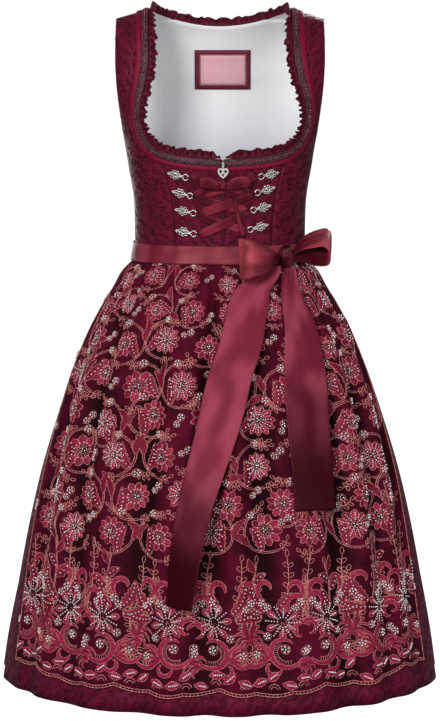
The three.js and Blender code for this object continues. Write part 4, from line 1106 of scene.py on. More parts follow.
def neck_columns(spacing, start=TRIM_END):
    """Evenly spaced columns along the whole neckline, with the direction into the cloth."""
    turns, girths, sides = [], [], []
    for n, (turn, girth, behind) in enumerate(neck_stretches(start)):
        length = resampled(turn, girth, behind, 2)[2]
        count = max(3, round(length / spacing) + 1)
        even_turn, even_girth, _ = resampled(turn, girth, behind, count)
        skip = 0 if n == 0 else 1
        turns.append(even_turn[skip:])
        girths.append(even_girth[skip:])
        sides.append(np.full(count - skip, behind))
    turn, girth, behind = (np.concatenate(part) for part in (turns, girths, sides))
    point = bodice_point(turn, girth, behind, np.zeros_like(turn))
    normal = bodice_normal(turn, girth, behind)
    into = unit(np.cross(unit(np.gradient(point, axis=0)), normal))
    run = np.concatenate(([0], np.cumsum(np.linalg.norm(np.diff(point, axis=0), axis=1))))
    return {"turn": turn, "girth": girth, "behind": behind, "point": point,
            "normal": normal, "into": into, "run": run}


def walk_in(columns, distance):
    """Places reached over the cloth from the neckline's columns."""
    distance = np.broadcast_to(np.asarray(distance, float), columns["turn"].shape)
    turn, girth = columns["turn"].copy(), columns["girth"].copy()
    behind = columns["behind"]
    steps = max(1, math.ceil(np.abs(distance).max() / 3))
    for _ in range(steps):
        across, down = bodice_slopes(turn, girth, behind)
        wish = columns["into"] * (distance / steps)[:, None]
        aa, ad, dd = ((a * b).sum(axis=1) for a, b in ((across, across), (across, down), (down, down)))
        wa, wd = (across * wish).sum(axis=1), (down * wish).sum(axis=1)
        scale = aa * dd - ad * ad
        turn = turn + (wa * dd - wd * ad) / scale
        girth = np.maximum(0, girth + (wd * aa - wa * ad) / scale)
    return turn, girth, behind


def trim_point(columns, distance, lift):
    return bodice_point(*walk_in(columns, distance), lift)


def narrowed(columns, amount):
    """How much narrower a trim is in front, below the sides of the neckline."""
    low = smooth((height_at(columns["girth"]) - 150) / 60)
    return amount * np.where(columns["behind"], 0, low)


def make_neck_ribbon(material):
    columns = neck_columns(1.6)
    inner_edge, outer_edge, narrower = NECK_RIBBON
    outer_edge = outer_edge - narrowed(columns, narrower)
    rows = []
    for share in np.linspace(0, 1, 7):
        pleat = 0.35 * np.sin(columns["run"] * 2 * math.pi / 5.5) * (1 - 0.6 * share)
        crown = 0.5 * (1 - (2 * share - 1) ** 2)
        rows.append(trim_point(columns, mix(inner_edge, outer_edge, share), 1.2 + crown + pleat))
    grid = np.array(rows)
    piece = thickened("neck_ribbon_cloth", grid, NECK_RIBBON_WALL, material)
    dress("neck_ribbon")


def make_neck_braid(base, bead, cord):
    """Woven band with rows of small glass beads and a wavy cord along each side."""
    columns = neck_columns(1.5)
    grid = np.array([trim_point(columns, d, 1.1 + 0.5 * math.sin(math.pi * (d - 0.8) / 10.6))
                     for d in np.linspace(0.8, 11.4, 7)])
    piece = thickened("neck_braid_band", grid, BAND_WALL, base)
    dress("neck_braid")
    heap = Heap()
    for distance, spacing, radius, sway in BRAID_BEADS:
        row = neck_columns(spacing)
        wander = distance + sway * np.sin(np.arange(len(row["turn"])) * math.pi / 2)
        heap.beads(trim_point(row, wander, 1.7 + radius * 0.7), radius)
    fine = neck_columns(0.9)
    wave = np.sin(fine["run"] * 2 * math.pi / 6.8)
    for middle, sign in BRAID_WAVES:
        heap.tube(trim_point(fine, middle + sign * 1.3 * wave, 1.9), 0.42, fine["normal"], 5, slot=1)
    for edge in BRAID_CORDS:
        heap.tube(trim_point(fine, edge, 1.5), 0.5, fine["normal"], 5, slot=1)
    trim = heap.build("neck_braid_beads", [bead, cord])


def make_frill(material, thread):
    """Gathered ruffle that stands up from the neck's edge."""
    columns = neck_columns(0.9)
    h = height_at(columns["girth"])
    lean = np.radians(np.where(columns["behind"], 45, mix(45, 12, smooth(h / 60))))[:, None]
    rise = -columns["into"] * np.cos(lean) + columns["normal"] * np.sin(lean)
    sway = columns["normal"] * np.cos(lean) + columns["into"] * np.sin(lean)
    run = columns["run"]
    from_end = np.minimum(run, run[-1] - run)
    height = FRILL_HEIGHT * np.clip(from_end / FRILL_TAPER, 0.25, 1)
    phase = run / run[-1] * FRILL_WAVES * 2 * math.pi
    wander = 1.1 * np.sin(run * 0.11) + 0.8 * np.sin(run * 0.29 + 1)
    uneven = 1 + 0.3 * np.sin(run * 0.19 + 2) * np.sin(run * 0.053)
    root = columns["point"] - columns["normal"] * BODICE_WALL / 2
    wave = np.sin(phase + wander)
    round_wave = np.sign(wave) * np.abs(wave) ** 0.6
    rows = []
    for share in FRILL_ROWS:
        swing = 2.7 * uneven * smooth(max(share, 0) * 1.15) * round_wave * height / FRILL_HEIGHT
        curl = 1.6 * share ** 2 * np.cos(2 * phase + 0.7)
        tall = height * share + share * (1.1 * np.sin(phase * 0.5 + wander) - 0.8 * np.sin(run * 0.23))
        rows.append(root + rise * (1.0 + tall)[:, None] + sway * (swing + curl * 0.4)[:, None])
    grid = np.array(rows)
    piece = thickened("neck_frill_cloth", grid, FRILL_WALL, material)
    dress("neck_frill")
    heap = Heap()
    heap.tube(grid[-1], 0.5, sway, 5)
    heap.tube(grid[2] + sway * 0.9, 0.35, sway, 5)
    edge = heap.build("neck_frill_edge", [thread])


# Lining and label

def make_lining(material):
    columns = np.linspace(-1, 1, LINING_COLUMNS)[None, :]
    drop = np.linspace(0, 1, LINING_ROWS)[:, None]
    seam_h, seam_x = BACK_SEAM["h"][0], BACK_SEAM["x"][0]
    seam_column = turn_of(seam_x, seam_h, True) / (armhole_turn(seam_h, True) * LINING_REACH)
    top = BACK_NECK * (1 - (np.minimum(np.abs(columns / seam_column), 1) * seam_x / NECK_POINT) ** 2)
    h = mix(top, LINING_BOTTOM, drop)
    turn = columns * armhole_turn(h, True) * LINING_REACH
    lift = -2.5 + 0.25 * np.sin(0.11 * h + 5 * columns)
    outer = bodice_point(turn, girth_at(h), True, lift)
    piece = wall("lining_cloth", outer, bodice_point(turn, girth_at(h), True, lift - 1.0), material)
    dress("lining_back")


def make_label(border, field, thread):
    for layer, material in zip(LABEL_LAYERS, (border, field)):
        node, left, right, top, bottom, lift, thick, rows, columns, under = layer
        h = np.linspace(top, bottom, rows)[:, None] + np.zeros((1, columns))
        turn = turn_of(mix(left, right, np.linspace(0, 1, columns)[None, :]), h, True)
        outer, inner = (bodice_point(turn, girth_at(h), True, lift - depth + 0 * h) for depth in (0, thick))
        piece = wall(node + "_cloth", outer, inner, material)
        dress("label" if material is border else node)
    heap = Heap()
    for left, right, top, bottom, lift, slot in LABEL_SEAMS:
        corners = [(left, top), (right, top), (right, bottom), (left, bottom), (left, top)]
        for (x0, h0), (x1, h1) in zip(corners, corners[1:]):
            count = int(max(abs(x1 - x0), abs(h1 - h0)) / 3.2)
            for n in range(count):
                ends = np.array([n + 0.15, n + 0.8]) / count
                line = cloth_point(mix(x0, x1, ends), mix(h0, h1, ends), lift, True)
                heap.tube(line, 0.32, (0, 1, 0), 5, slot=slot)
    stitches = heap.build("label_stitches", thread)


# Zip, hooks and lacing

def make_zip(tape, teeth):
    h = np.linspace(ZIP_TOP + 0.3, BODICE_BOTTOM - 0.4, 60)[:, None]
    x = CENTRE_SHIFT + np.linspace(-1.3, 1.3, 5)[None, :]
    outer = cloth_point(x, h, -0.1)
    piece = wall("zip_tape", outer, cloth_point(x, h, -1.2), tape)
    dress("zip")
    heap = Heap()
    for n, level in enumerate(np.arange(*ZIP_TEETH)):
        side = 1 if n % 2 else -1
        ends = np.array([-0.45, 1.0]) * side + CENTRE_SHIFT
        heap.tube(cloth_point(ends, np.full(2, level), 0.25), 0.42, (0, -1, 0), 5)
    row = heap.build("zip_teeth", [teeth])


def arc(x, radii, first, last, count, z):
    """Arc of an oval round a point of the hook's middle line."""
    angle = np.radians(np.linspace(first, last, count))
    return np.stack([x + radii[0] * np.cos(angle), radii[1] * np.sin(angle), np.full(count, z)], axis=1)


def hook_shape(heap, lay):
    """Cast flower with an open middle, a leaf tip outward and a loop with balls inward."""
    normal = lay([(0, 0, 1)])[0] - lay([(0, 0, 0)])[0]

    def line(points, radius, closed=False):
        heap.tube(lay(points), radius, normal, 6, closed, 0.8)

    line(arc(0, (2.8, 2.6), 0, 345, 16, 1.0), 0.7, True)
    heap.beads(lay([(0, 0, 1.1)]), 1.0)
    for n in range(7):
        angle = 2 * math.pi * n / 7 + 0.2
        x, y = 5.6 * math.cos(angle), 5.0 * math.sin(angle)
        line(arc(x, (2.0, 1.8), 0, 324, 10, 0.6) + (0, y, 0), 0.62, True)
        heap.beads(lay([(x * 0.66, y * 0.66, 0.9)]), 0.6)
    line(HOOK_LEAF, 0.65, True)
    line(HOOK_VEIN, 0.55)
    for side in (-1, 1):
        line([(6.2, side * 1.4, 0.7), (9.0, side * 0.9, 0.8), (11.6, side * 1.2, 0.8)], 0.75)
        line(arc(HOOK_REACH - 1.2, (4.1, 4.3), side * 170, side * 32, 10, 0.9), 0.95)
        heap.beads(lay([(HOOK_REACH + 2.2, side * 2.3, 0.9)]), 1.3)
    line(arc(9.0, (1.5, 1.3), 0, 324, 9, 0.9), 0.4, True)


def make_hooks(silver):
    for n, (x, h, turn) in enumerate(zip(HOOKS["x"], HOOKS["h"], HOOKS["turn"])):
        inward = 1 if x < 0 else -1
        here = front_frame(x, h, HOOK_LIFT, -inward * math.radians(turn))

        def lay(points):
            local = np.array(points, float) - (HOOK_MIDDLE, 0, 0)
            local[:, 0] *= inward
            return placed(local, here)

        heap = Heap()
        hook_shape(heap, lay)
        node = "hook_%s_%d" % ("left" if x < 0 else "right", n % 4 + 1)
        piece = heap.build(node + "_cast", [silver])
        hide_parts(node)


def ribbon_strip(x, h, width, lift, across, crown=0.5):
    """Grid of a narrow ribbon over the bodice along a line of places."""
    run_x, run_h = np.gradient(x), np.gradient(h)
    run = np.hypot(run_x, run_h)
    side = np.linspace(-0.5, 0.5, across)[:, None]
    px = x - run_h / run * width * side
    ph = h + run_x / run * width * side
    rise = lift + crown * (1 - 4 * side ** 2) - 0.5 * crown
    return cloth_point(px, ph, np.broadcast_to(rise, px.shape))


def make_laces(satin):
    for n, (node, start, end, lift) in enumerate(LACES):
        t = np.linspace(0, 1, 34)
        sag = 1.2 * np.sin(math.pi * t)
        x, h = mix(start[0], end[0], t), mix(start[1], end[1], t) + sag
        near_end = np.minimum(t, 1 - t)
        width = LACE_WIDTH * mix(0.55, 1.0, smooth(near_end / 0.12))
        side = np.linspace(-0.5, 0.5, 17)[:, None]
        crease = 0.14 * np.cos(side * 12 + 3.0 * t + 1.7 * n) * smooth((0.5 - np.abs(side)) / 0.1)
        grid = ribbon_strip(x, h, width, lift + 0.4 + crease, 17)
        piece = thickened(node + "_ribbon", grid, NARROW_RIBBON, satin)
        dress(node)


def make_lace_bow(satin):
    for node, rows in LACE_LOOPS.items():
        t = np.linspace(0, 1, 44)
        out = 3 * np.sin(math.pi * t) ** 0.8
        x, h, width, lift = lookups(rows, "x h width lift", out)
        fold = 1.9 * np.cos(math.pi * t)
        lift = lift - 1.0 + fold
        side = np.linspace(-0.5, 0.5, 9)[:, None]
        crease = 0.8 * np.cos(6 * math.pi * side) * (1 - out / 3) ** 0.7
        slant = 2.0 * fold / 1.9
        grid = cloth_point(x + 0 * side, h + width * side + slant, lift + crease + 0.5 * (1 - 4 * side ** 2))
        finish_ribbon(node, grid, satin)
    for node, rows in LACE_TAILS.items():
        place = np.linspace(0, rows["n"][-1], 40)
        x, h, width, lift = lookups(rows, "x h width lift", place)
        grid = ribbon_strip(x, h, width, lift + 0.4 * np.sin(place * 2.4), 7, 0.8)
        finish_ribbon(node, grid, satin)
    make_knot("lace_knot", front_frame(*LACE_KNOT), LACE_KNOT_SIZE, satin)


def finish_ribbon(node, grid, satin, thickness=NARROW_RIBBON):
    piece = thickened(node + "_ribbon", grid, thickness, satin)
    dress(node)
    return piece


def make_knot(node, frame_here, size, satin):
    """Knot: a cushion of ribbon drawn round the middle, pleated from top to bottom."""
    rows, columns = 40, 33
    around = np.linspace(0, 2 * math.pi, rows)[:, None]
    along = np.linspace(-1, 1, columns)[None, :]
    bulge = (1 - np.abs(along) ** 3.2) ** 0.45
    pleat = 1 - 0.15 * (0.5 + 0.5 * np.cos(2 * math.pi * PLEATS * along + 1.1 * np.sin(around)))
    waist = 1 - 0.1 * np.exp(-(along / 0.5) ** 2)
    radius = bulge * pleat
    width, height, depth = (length / 2 for length in size)
    x = along * width * 0.98 + 0 * around
    y = radius * height * np.sign(np.sin(around)) * np.abs(np.sin(around)) ** 0.8 * (2 - waist)
    z = radius * depth * np.sign(np.cos(around)) * np.abs(np.cos(around)) ** 0.8
    points = placed(np.stack([x, y, z], axis=-1), frame_here)
    uv = np.stack(np.broadcast_arrays(along * width, around * height), axis=-1)
    piece = make_object(node + "_ribbon", points.reshape(-1, 3), grid_faces(rows, columns), [satin],
                        uvs=uv.reshape(-1, 2))
    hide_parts(node)


# Waist ribbon and its bow

def through_points(points, count):
    """Smooth curve through points, centripetal, so that it makes no loops of its own."""
    points = np.asarray(points, float)
    padded_points = np.vstack([2 * points[0] - points[1], points, 2 * points[-1] - points[-2]])
    last = len(points) - 1
    places = np.linspace(0, last, count)
    made = []
    for place in places:
        i = min(int(place), last - 1)
        t = place - i
        p0, p1, p2, p3 = padded_points[i:i + 4]
        d0, d1, d2 = (max(np.linalg.norm(b - a) ** 0.5, 1e-4) for a, b in ((p0, p1), (p1, p2), (p2, p3)))
        m1 = ((p1 - p0) / d0 - (p2 - p0) / (d0 + d1) + (p2 - p1) / d1) * d1
        m2 = ((p2 - p1) / d1 - (p3 - p1) / (d1 + d2) + (p3 - p2) / d2) * d1
        a = 2 * t ** 3 - 3 * t ** 2 + 1
        b = t ** 3 - 2 * t ** 2 + t
        c = 3 * t ** 2 - 2 * t ** 3
        made.append(a * p1 + b * m1 + c * p2 + (t ** 3 - t ** 2) * m2)
    return np.array(made)


def left_loop_shade(t, share):
    """Painted shade on the left loop: a dark band across its front, dark at the pleats by its knot."""
    out = np.clip(2 * t - 1, 0, 1)
    band = 0.6 * np.exp(-((out - 0.3 - 0.2 * (0.5 - share)) / 0.12) ** 2)
    pleat_shade = 0.85 * smooth((out - 0.7) / 0.3) + 0 * share
    corner = 0.6 * smooth((out - 0.35) / 0.3) * smooth((0.4 - share) / 0.3)
    return np.maximum(np.maximum(band, pleat_shade), corner)


def right_loop_shade(t, share):
    """Painted shade on the right loop: dark at the pleats by its knot, a dark streak and a dark inside."""
    pleat_shade = 0.8 * (1 - smooth(t / 0.22)) + 0 * share
    streak = 0.55 * np.exp(-((share - 0.28 - 0.3 * t) / 0.1) ** 2) * smooth((0.4 - t) / 0.1)
    inside = 0.8 * smooth((t - 0.6) / 0.08) + 0 * share
    return np.maximum(np.maximum(pleat_shade, streak), inside)


def bow_loop(node, edges, satin, phase, shade):
    upper = through_points([row[0] for row in edges], 90)
    lower = through_points([row[1] for row in edges], 90)
    share = np.linspace(0, 1, 17)
    grid = upper[:, None] * (1 - share)[None, :, None] + lower[:, None] * share[None, :, None]
    t = np.linspace(0, 1, 90)[:, None]
    close = np.clip(1 - np.minimum(t, 1 - t) / 0.38, 0, 1)
    crease = 1.3 * close * (1 - close) * 2 * np.cos(5 * math.pi * share + phase)
    swell = 1.0 * np.sin(math.pi * share) * np.sin(2 * math.pi * t + phase)
    grid = grid + grid_normals(grid) * (crease + swell)[..., None]
    # painted shade of the loop, stored on it for its satin
    add_painted_shade(finish_ribbon(node, grid, satin, WIDE_RIBBON), shade(t, share[None, :]))


def bow_tail(node, rows, satin, phase):
    h = np.linspace(rows["h"][0], rows["h"][-1], 110)[:, None]
    share = np.linspace(0, 1, 21)[None, :]
    centre, width, left, right = lookups(rows, "x width left right", h)
    half, power = lookups(SKIRT_SECTIONS, "half power", h)
    x = centre + width * (share - 0.5)
    down = (h - rows["h"][0]) / 60
    pleat = 1.5 * np.exp(-down ** 1.4) * (0.5 + 0.5 * np.cos(2 * math.pi * PLEATS * share))
    wave = 1.4 * smooth(down / 2) * (1 + np.sin(h * 0.028 + phase + 2.2 * share))
    lift = mix(left, right, share) + TAIL_RAISE + pleat + wave
    grid = skirt_outline(turn_at_share(x / half, power), h + 0 * share, lift)
    finish_ribbon(node, grid, satin, WIDE_RIBBON)


def make_bow(satin, knot, left, right):
    bow_loop("bow_loop_left", BOW_LEFT, satin, 0.4, left_loop_shade)
    bow_loop("bow_loop_right", BOW_RIGHT, satin, 2.1, right_loop_shade)
    bow_tail("bow_tail_left", TAIL_LEFT, left, 0.3)
    bow_tail("bow_tail_right", TAIL_RIGHT, right, 2.0)
    make_knot("bow_knot", front_frame(*BOW_KNOT), BOW_KNOT_SIZE, knot)


def make_waist_ribbon(satin):
    for node, behind in (("waist_ribbon_front", False), ("waist_ribbon_back", True)):
        h = np.linspace(RIBBON_TOP, RIBBON_BOTTOM, 15)[:, None]
        turn = np.linspace(-math.pi / 2 + 0.001, math.pi / 2 - 0.001, 150)[None, :]
        share = (h - RIBBON_TOP) / (RIBBON_BOTTOM - RIBBON_TOP)
        gather = 0.0 if behind else 0.9 * np.exp(-((turn - 0.62) / 0.28) ** 2)
        drape = 0.35 * np.sin(9 * turn + 3 * share) + gather * np.cos(5 * math.pi * share + 3 * turn)
        lift = mix(*RIBBON_LIFTS, share) + 0.6 + drape * np.sin(math.pi * share) + 0.3
        grid = bodice_point(turn + 0 * h, girth_at(h) + 0 * turn, behind, lift)
        piece = thickened(node + "_cloth", grid, BAND_WALL, satin)
        dress(node)


# Embroidery: motifs drawn flat in millimetres, x across and y down, and laid on the apron

def cloth_metric(line, h):
    """Millimetres of cloth in one degree of line and in one millimetre of height."""
    places = skirt_outline(line_turn(np.array([line - 0.5, line + 0.5, line, line]), h),
                           np.array([h, h, h - 0.5, h + 0.5]), np.zeros(4))
    return np.linalg.norm(places[1] - places[0]), np.linalg.norm(places[3] - places[2])


def turned(points, angle, at=(0, 0), size=1.0):
    points = np.asarray(points, float) * size
    c, s = math.cos(math.radians(angle)), math.sin(math.radians(angle))
    return points @ np.array([[c, s], [-s, c]]) + at


def circle(radius, count, centre=(0, 0), first=0.0, last=360.0, closed=True):
    angle = np.radians(np.linspace(first, last, count, endpoint=not closed))
    return np.stack([centre[0] + radius * np.cos(angle), centre[1] + radius * np.sin(angle)], axis=1)


def heading(line, n):
    """Direction in degrees from one point of a line to the next."""
    step = line[n + 1] - line[n]
    return math.degrees(math.atan2(step[1], step[0]))


def sides_of(line, closed=False):
    """Unit vectors square to a flat line of points."""
    along = steps_along(line, closed)
    return unit(np.stack([-along[:, 1], along[:, 0]], axis=1))


class Embroidery:
    def __init__(self):
        self.fills = Heap()
        self.cords = Heap()
        self.bead_rows = []
        self.move(0, 600)

    def move(self, line, h, angle=0.0, size=1.0, mirror=False):
        """Sets where the next shapes go on the cloth."""
        across, down = cloth_metric(line, h)
        self.here = (line, h, angle, size, -1 if mirror else 1, across, down)

    def on_cloth(self, points, heights):
        line, h, angle, size, side, across, down = self.here
        points = turned(np.asarray(points, float).reshape(-1, 2) * (side, 1), angle, size=size)
        return np.stack([line + points[:, 0] / across, h + points[:, 1] / down,
                         np.broadcast_to(heights, (len(points),))], axis=1)

    def cord(self, points, radius=0.5, closed=False):
        """Fine cord sewn down along a line."""
        points = np.asarray(points, float)
        side = sides_of(points, closed) * radius
        ring = [self.on_cloth(points + side, 0.1), self.on_cloth(points, 0.3 + 1.2 * radius),
                self.on_cloth(points - side, 0.1)]
        count = len(points)
        vertices = np.stack(ring, axis=1)
        rows = np.arange(count if closed else count - 1)[:, None]
        columns = np.arange(2)[None, :]
        here, below = rows * 3 + columns, ((rows + 1) % count) * 3 + columns
        faces = np.stack([here, here + 1, below + 1, below], axis=-1).reshape(-1, 4)
        self.cords.add(vertices, faces)

    def band(self, spine, half, slot=FILL, outline=0.42):
        """Stitched patch along a spine, with a cord round its edge."""
        spine = np.asarray(spine, float)
        half = np.broadcast_to(half, (len(spine),))
        side = sides_of(spine)
        shares = np.array([-1.0, -0.55, 0.0, 0.55, 1.0])
        points = spine[:, None] + side[:, None] * (half[:, None] * shares)[..., None]
        heights = np.broadcast_to(0.15 + PATCH_DOME * np.sqrt(1 - 0.98 * shares ** 2), points.shape[:2])
        vertices = self.on_cloth(points.reshape(-1, 2), heights.ravel())
        self.fills.add(vertices, grid_faces(len(spine), len(shares)), slot)
        if outline:
            self.cord(np.concatenate([points[:, 0], points[::-1, -1]]), outline, True)

    def beads(self, points, radius, kind=PEARL):
        placed_beads = self.on_cloth(points, 0.5 + radius * self.here[3])
        for row in placed_beads:
            self.bead_rows.append((*row, radius * self.here[3], kind))

    def petal(self, length, width, angle, start, slot, outline=0.5):
        t = np.linspace(0, 1, 8)
        half = width / 2 * np.sin(math.pi * np.clip(t, 0.04, 0.97) ** 1.4) ** 0.75
        spine = turned(np.stack([start + length * t, 0 * t], axis=1), angle)
        self.band(spine, half, slot, outline)

    def leaf(self, length, width, angle, at, bend=0.2, lobes=4, row=0):
        """Lobed leaf with a row of beads along its vein."""
        t = np.linspace(0, 1, 4 * lobes + 3)
        notch = 0.62 + 0.38 * np.abs(np.sin(math.pi * lobes * t))
        half = width / 2 * np.sin(math.pi * np.clip(t, 0.05, 0.97) ** 0.85) ** 0.7 * notch
        spine = turned(np.stack([length * t, bend * length * np.sin(math.pi * t) * 0.5], axis=1), angle, at)
        self.band(spine, half)
        if row:
            vein = spine[1:-2]
            places = np.linspace(0, len(vein) - 1, row)
            along = np.arange(len(vein))
            self.beads(np.stack([np.interp(places, along, vein[:, i]) for i in (0, 1)], axis=1), 1.15, CRYSTAL)
        else:
            self.cord(spine[1:-1], 0.36)

    def oval(self, length, width, angle, at):
        """Open loop of cord that starts at a place."""
        t = np.linspace(0, 2 * math.pi, 9)[:-1]
        loop = np.stack([length / 2 * (1 - np.cos(t)), width / 2 * np.sin(t)], axis=1)
        self.cord(turned(loop, angle, at), 0.46, True)

    def sprig(self, length, angle, at, pairs, size):
        """Stem with pairs of open loops and one at its tip."""
        t = np.linspace(0, 1, 2 * pairs + 2)
        stem = turned(np.stack([length * t, 0.15 * length * np.sin(math.pi * t)], axis=1), angle, at)
        self.cord(stem)
        for n in range(pairs):
            for side in (-1, 1):
                self.oval(size, size * 0.55, heading(stem, 2 * n + 1) + side * 62, stem[2 * n + 1])
        self.oval(size, size * 0.6, heading(stem, -2), stem[-1])

    def vine(self, points, gap=1.2):
        """Stem of two cords side by side."""
        points = np.asarray(points, float)
        side = sides_of(points) * gap
        self.cord(points + side, 0.45)
        self.cord(points - side, 0.45)

    def flower(self, radius, petals, twist, rayed):
        for n in range(petals):
            angle = twist + 360 * n / petals
            slot = FILL_LIGHT if n % 2 else FILL
            self.petal(radius * 0.72, radius * 4.3 / petals, angle, radius * 0.28, slot)
            if rayed:
                direction = np.array([[math.cos(math.radians(angle)), math.sin(math.radians(angle))]])
                self.beads(np.linspace(0.36, 0.8, 4)[:, None] * radius * direction, 1.15, CRYSTAL)
        if not rayed:
            self.beads(circle(radius * 0.5, 14), 1.15, PEARL)
            for n in range(5):
                direction = turned([(1, 0)], twist + 72 * n)
                self.beads(np.linspace(0.22, 0.36, 2)[:, None] * radius * direction, 0.9, DARK)
        self.beads(circle(radius * 0.1, 3), 1.35, CRYSTAL)
        self.cord(circle(radius * 0.22, 9), 0.5, True)

    def cluster(self, at, size):
        """Small blossom of pearls ringed with cord."""
        self.cord(circle(size * 1.75, 12, at), 0.42, True)
        self.beads(circle(size * 1.1, 5, at), size * 0.5, PEARL)
        self.beads([at], size * 0.4, CRYSTAL)

    def starburst(self, radius):
        """Rays of bright beads between short petals."""
        for n in range(12):
            angle = 30.0 * n
            direction = turned([(1, 0)], angle)
            if n % 2:
                self.petal(radius * 0.62, radius * 0.34, angle, radius * 0.4, FILL_LIGHT, 0.42)
            self.beads(np.linspace(0.3, 0.78 if n % 2 else 0.95, 5)[:, None] * radius * direction, 1.2, CRYSTAL)
        self.beads(circle(radius * 0.12, 4), 1.0, DARK)

    def almond(self, length, angle, at):
        """Pointed shape near the hem with a ring of cord and long bright beads inside."""
        t = np.linspace(0, 1, 9)
        spine = turned(np.stack([length * t, 0 * t], axis=1), angle, at)
        half = 0.27 * length * np.sin(math.pi * np.clip(t, 0.03, 0.97))
        self.band(spine, half, slot=FILL_LIGHT)
        self.oval(length * 0.66, length * 0.27, angle, spine[1] * 0.5 + spine[2] * 0.5)
        self.beads(spine[3:8] * 0.5 + spine[2:7] * 0.5, 1.35, CRYSTAL)

    def fan(self, at, angle, count, length, curl):
        """Curved feathers that open like a fan, each inside the last one."""
        for n in range(count):
            reach = length * (1 - 0.17 * n)
            t = np.linspace(0, 1, 10)
            turn = np.radians(150 * t) * curl
            spine = np.stack([reach * 0.5 * (1 - np.cos(turn)), -np.abs(reach * 0.5 * np.sin(turn))], axis=1)
            spine[:, 0] *= curl
            half = 2.6 * np.sin(math.pi * np.clip(t, 0.03, 0.98) ** 0.6)
            self.band(turned(spine, angle + 24 * n * curl, at), half, slot=FILL if n % 2 else FILL_LIGHT)

    def scroll(self, centre, radius, first, last, width, rungs=True):
        """Curled band that thins to a point, with a comb of short bars inside it."""
        t = np.linspace(0, 1, 26)
        angle = np.radians(mix(first, last, t))
        reach = radius * (1 - 0.45 * t)
        spine = np.stack([centre[0] + reach * np.cos(angle), centre[1] + reach * np.sin(angle)], axis=1)
        half = width / 2 * np.sin(math.pi * np.clip(t, 0.02, 0.985) ** 0.75) ** 0.6
        self.band(spine, half, slot=FILL_LIGHT)
        if rungs:
            inner = centre + (spine - centre) * (1 - (width * 0.5 + 5.5) / reach)[:, None]
            outer = centre + (spine - centre) * (1 - (width * 0.5 + 0.8) / reach)[:, None]
            self.cord(inner[2:20], 0.42)
            for n in range(3, 19):
                self.cord(np.linspace(inner[n], outer[n], 3), 0.32)

    def build(self, threads, beads):
        """Lays everything on the cloth and makes the meshes."""
        for name, heap, materials in (("apron_petals", self.fills, threads[:2]),
                                      ("apron_cords", self.cords, threads[2:])):
            flat = np.concatenate(heap.vertices)
            line = np.clip(flat[:, 0], -APRON_REACH + 0.3, APRON_REACH - 0.3)
            h = np.clip(flat[:, 1], SKIRT_TOP + 10, apron_hem(line) - 1.2)
            points = skirt_point(line, h, APRON_FACE) + skirt_normal(line, h, APRON_FACE) * flat[:, 2:]
            piece = make_object(name, points, np.concatenate(heap.faces), materials,
                                np.concatenate(heap.slots), cloth_uv(line, h))
        rows = np.array(self.bead_rows)
        line, h = np.clip(rows[:, 0], -APRON_REACH + 0.6, APRON_REACH - 0.6), rows[:, 1]
        h = np.clip(h, SKIRT_TOP + 11, apron_hem(line) - 2)
        points = skirt_point(line, h, APRON_FACE) + skirt_normal(line, h, APRON_FACE) * rows[:, 2:3]
        shown = ~(under_tail(points[:, 0], h, TAIL_LEFT) | under_tail(points[:, 0], h, TAIL_RIGHT))
        heap = Heap()
        for kind in (PEARL, CRYSTAL, DARK):
            chosen = shown & (rows[:, 4] == kind)
            heap.beads(points[chosen], rows[chosen, 3], kind)
        heap.build("apron_beads", beads)


def under_tail(x, h, rows):
    """Whether a place is under a tail of the bow, where a bead would stand through it."""
    centre, width = lookup(rows, "x", h), lookup(rows, "width", h)
    return (np.abs(x - centre) < width / 2 + 1) & (h > rows["h"][0]) & (h < rows["h"][-1])


def wreath(work, rng, reach):
    """Stem that runs in an arc round a flower and carries leaves, loops and pearls."""
    first = rng.uniform(60, 110)
    stem = circle(reach, 20, (0, 0), first, first + rng.uniform(150, 200), False)
    work.vine(stem)
    for place, turn, length, beads in ((5, 50, 40, 7), (10, -28, 30, 0)):
        work.leaf(length, 0.42 * length, heading(stem, place) + turn, stem[place], 0.25, 5, beads)
    work.sprig(22, heading(stem, -2) + 15, stem[-1], 3, 7.0)
    work.cluster(tuple(stem[-1]), 3.4)
    work.sprig(18, heading(stem[::-1], -2) - 20, stem[0], 2, 7.0)


def upper_field(work, rng):
    """Staggered flowers in wreaths of stems, from the waist to the knee."""
    for n, h in enumerate(FLOWER_LEVELS):
        across = cloth_metric(0, h)[0]
        size = mix(0.72, 1.0, smooth((h - 400) / 130))
        count = max(6, round(2 * (APRON_REACH - 6) * across / (76 * size)))
        for k in range(count):
            share = (k + (0.3 if n % 2 else 0.7)) / count
            line = mix(-APRON_REACH + 5, APRON_REACH - 5, share) + rng.uniform(-1.5, 1.5)
            level = h + rng.uniform(-9, 9)
            mirror = bool((n + k) % 2)
            work.move(line, level, rng.uniform(-25, 25), size, mirror)
            wreath(work, rng, rng.uniform(31, 35))
            work.flower(rng.uniform(20, 24), int(rng.integers(9, 12)), rng.uniform(0, 40), (n + 2 * k) % 3 == 0)
            if (n + k) % 2:
                work.cluster((36, -12), 3.2)
                work.cluster((44, -4), 2.8)


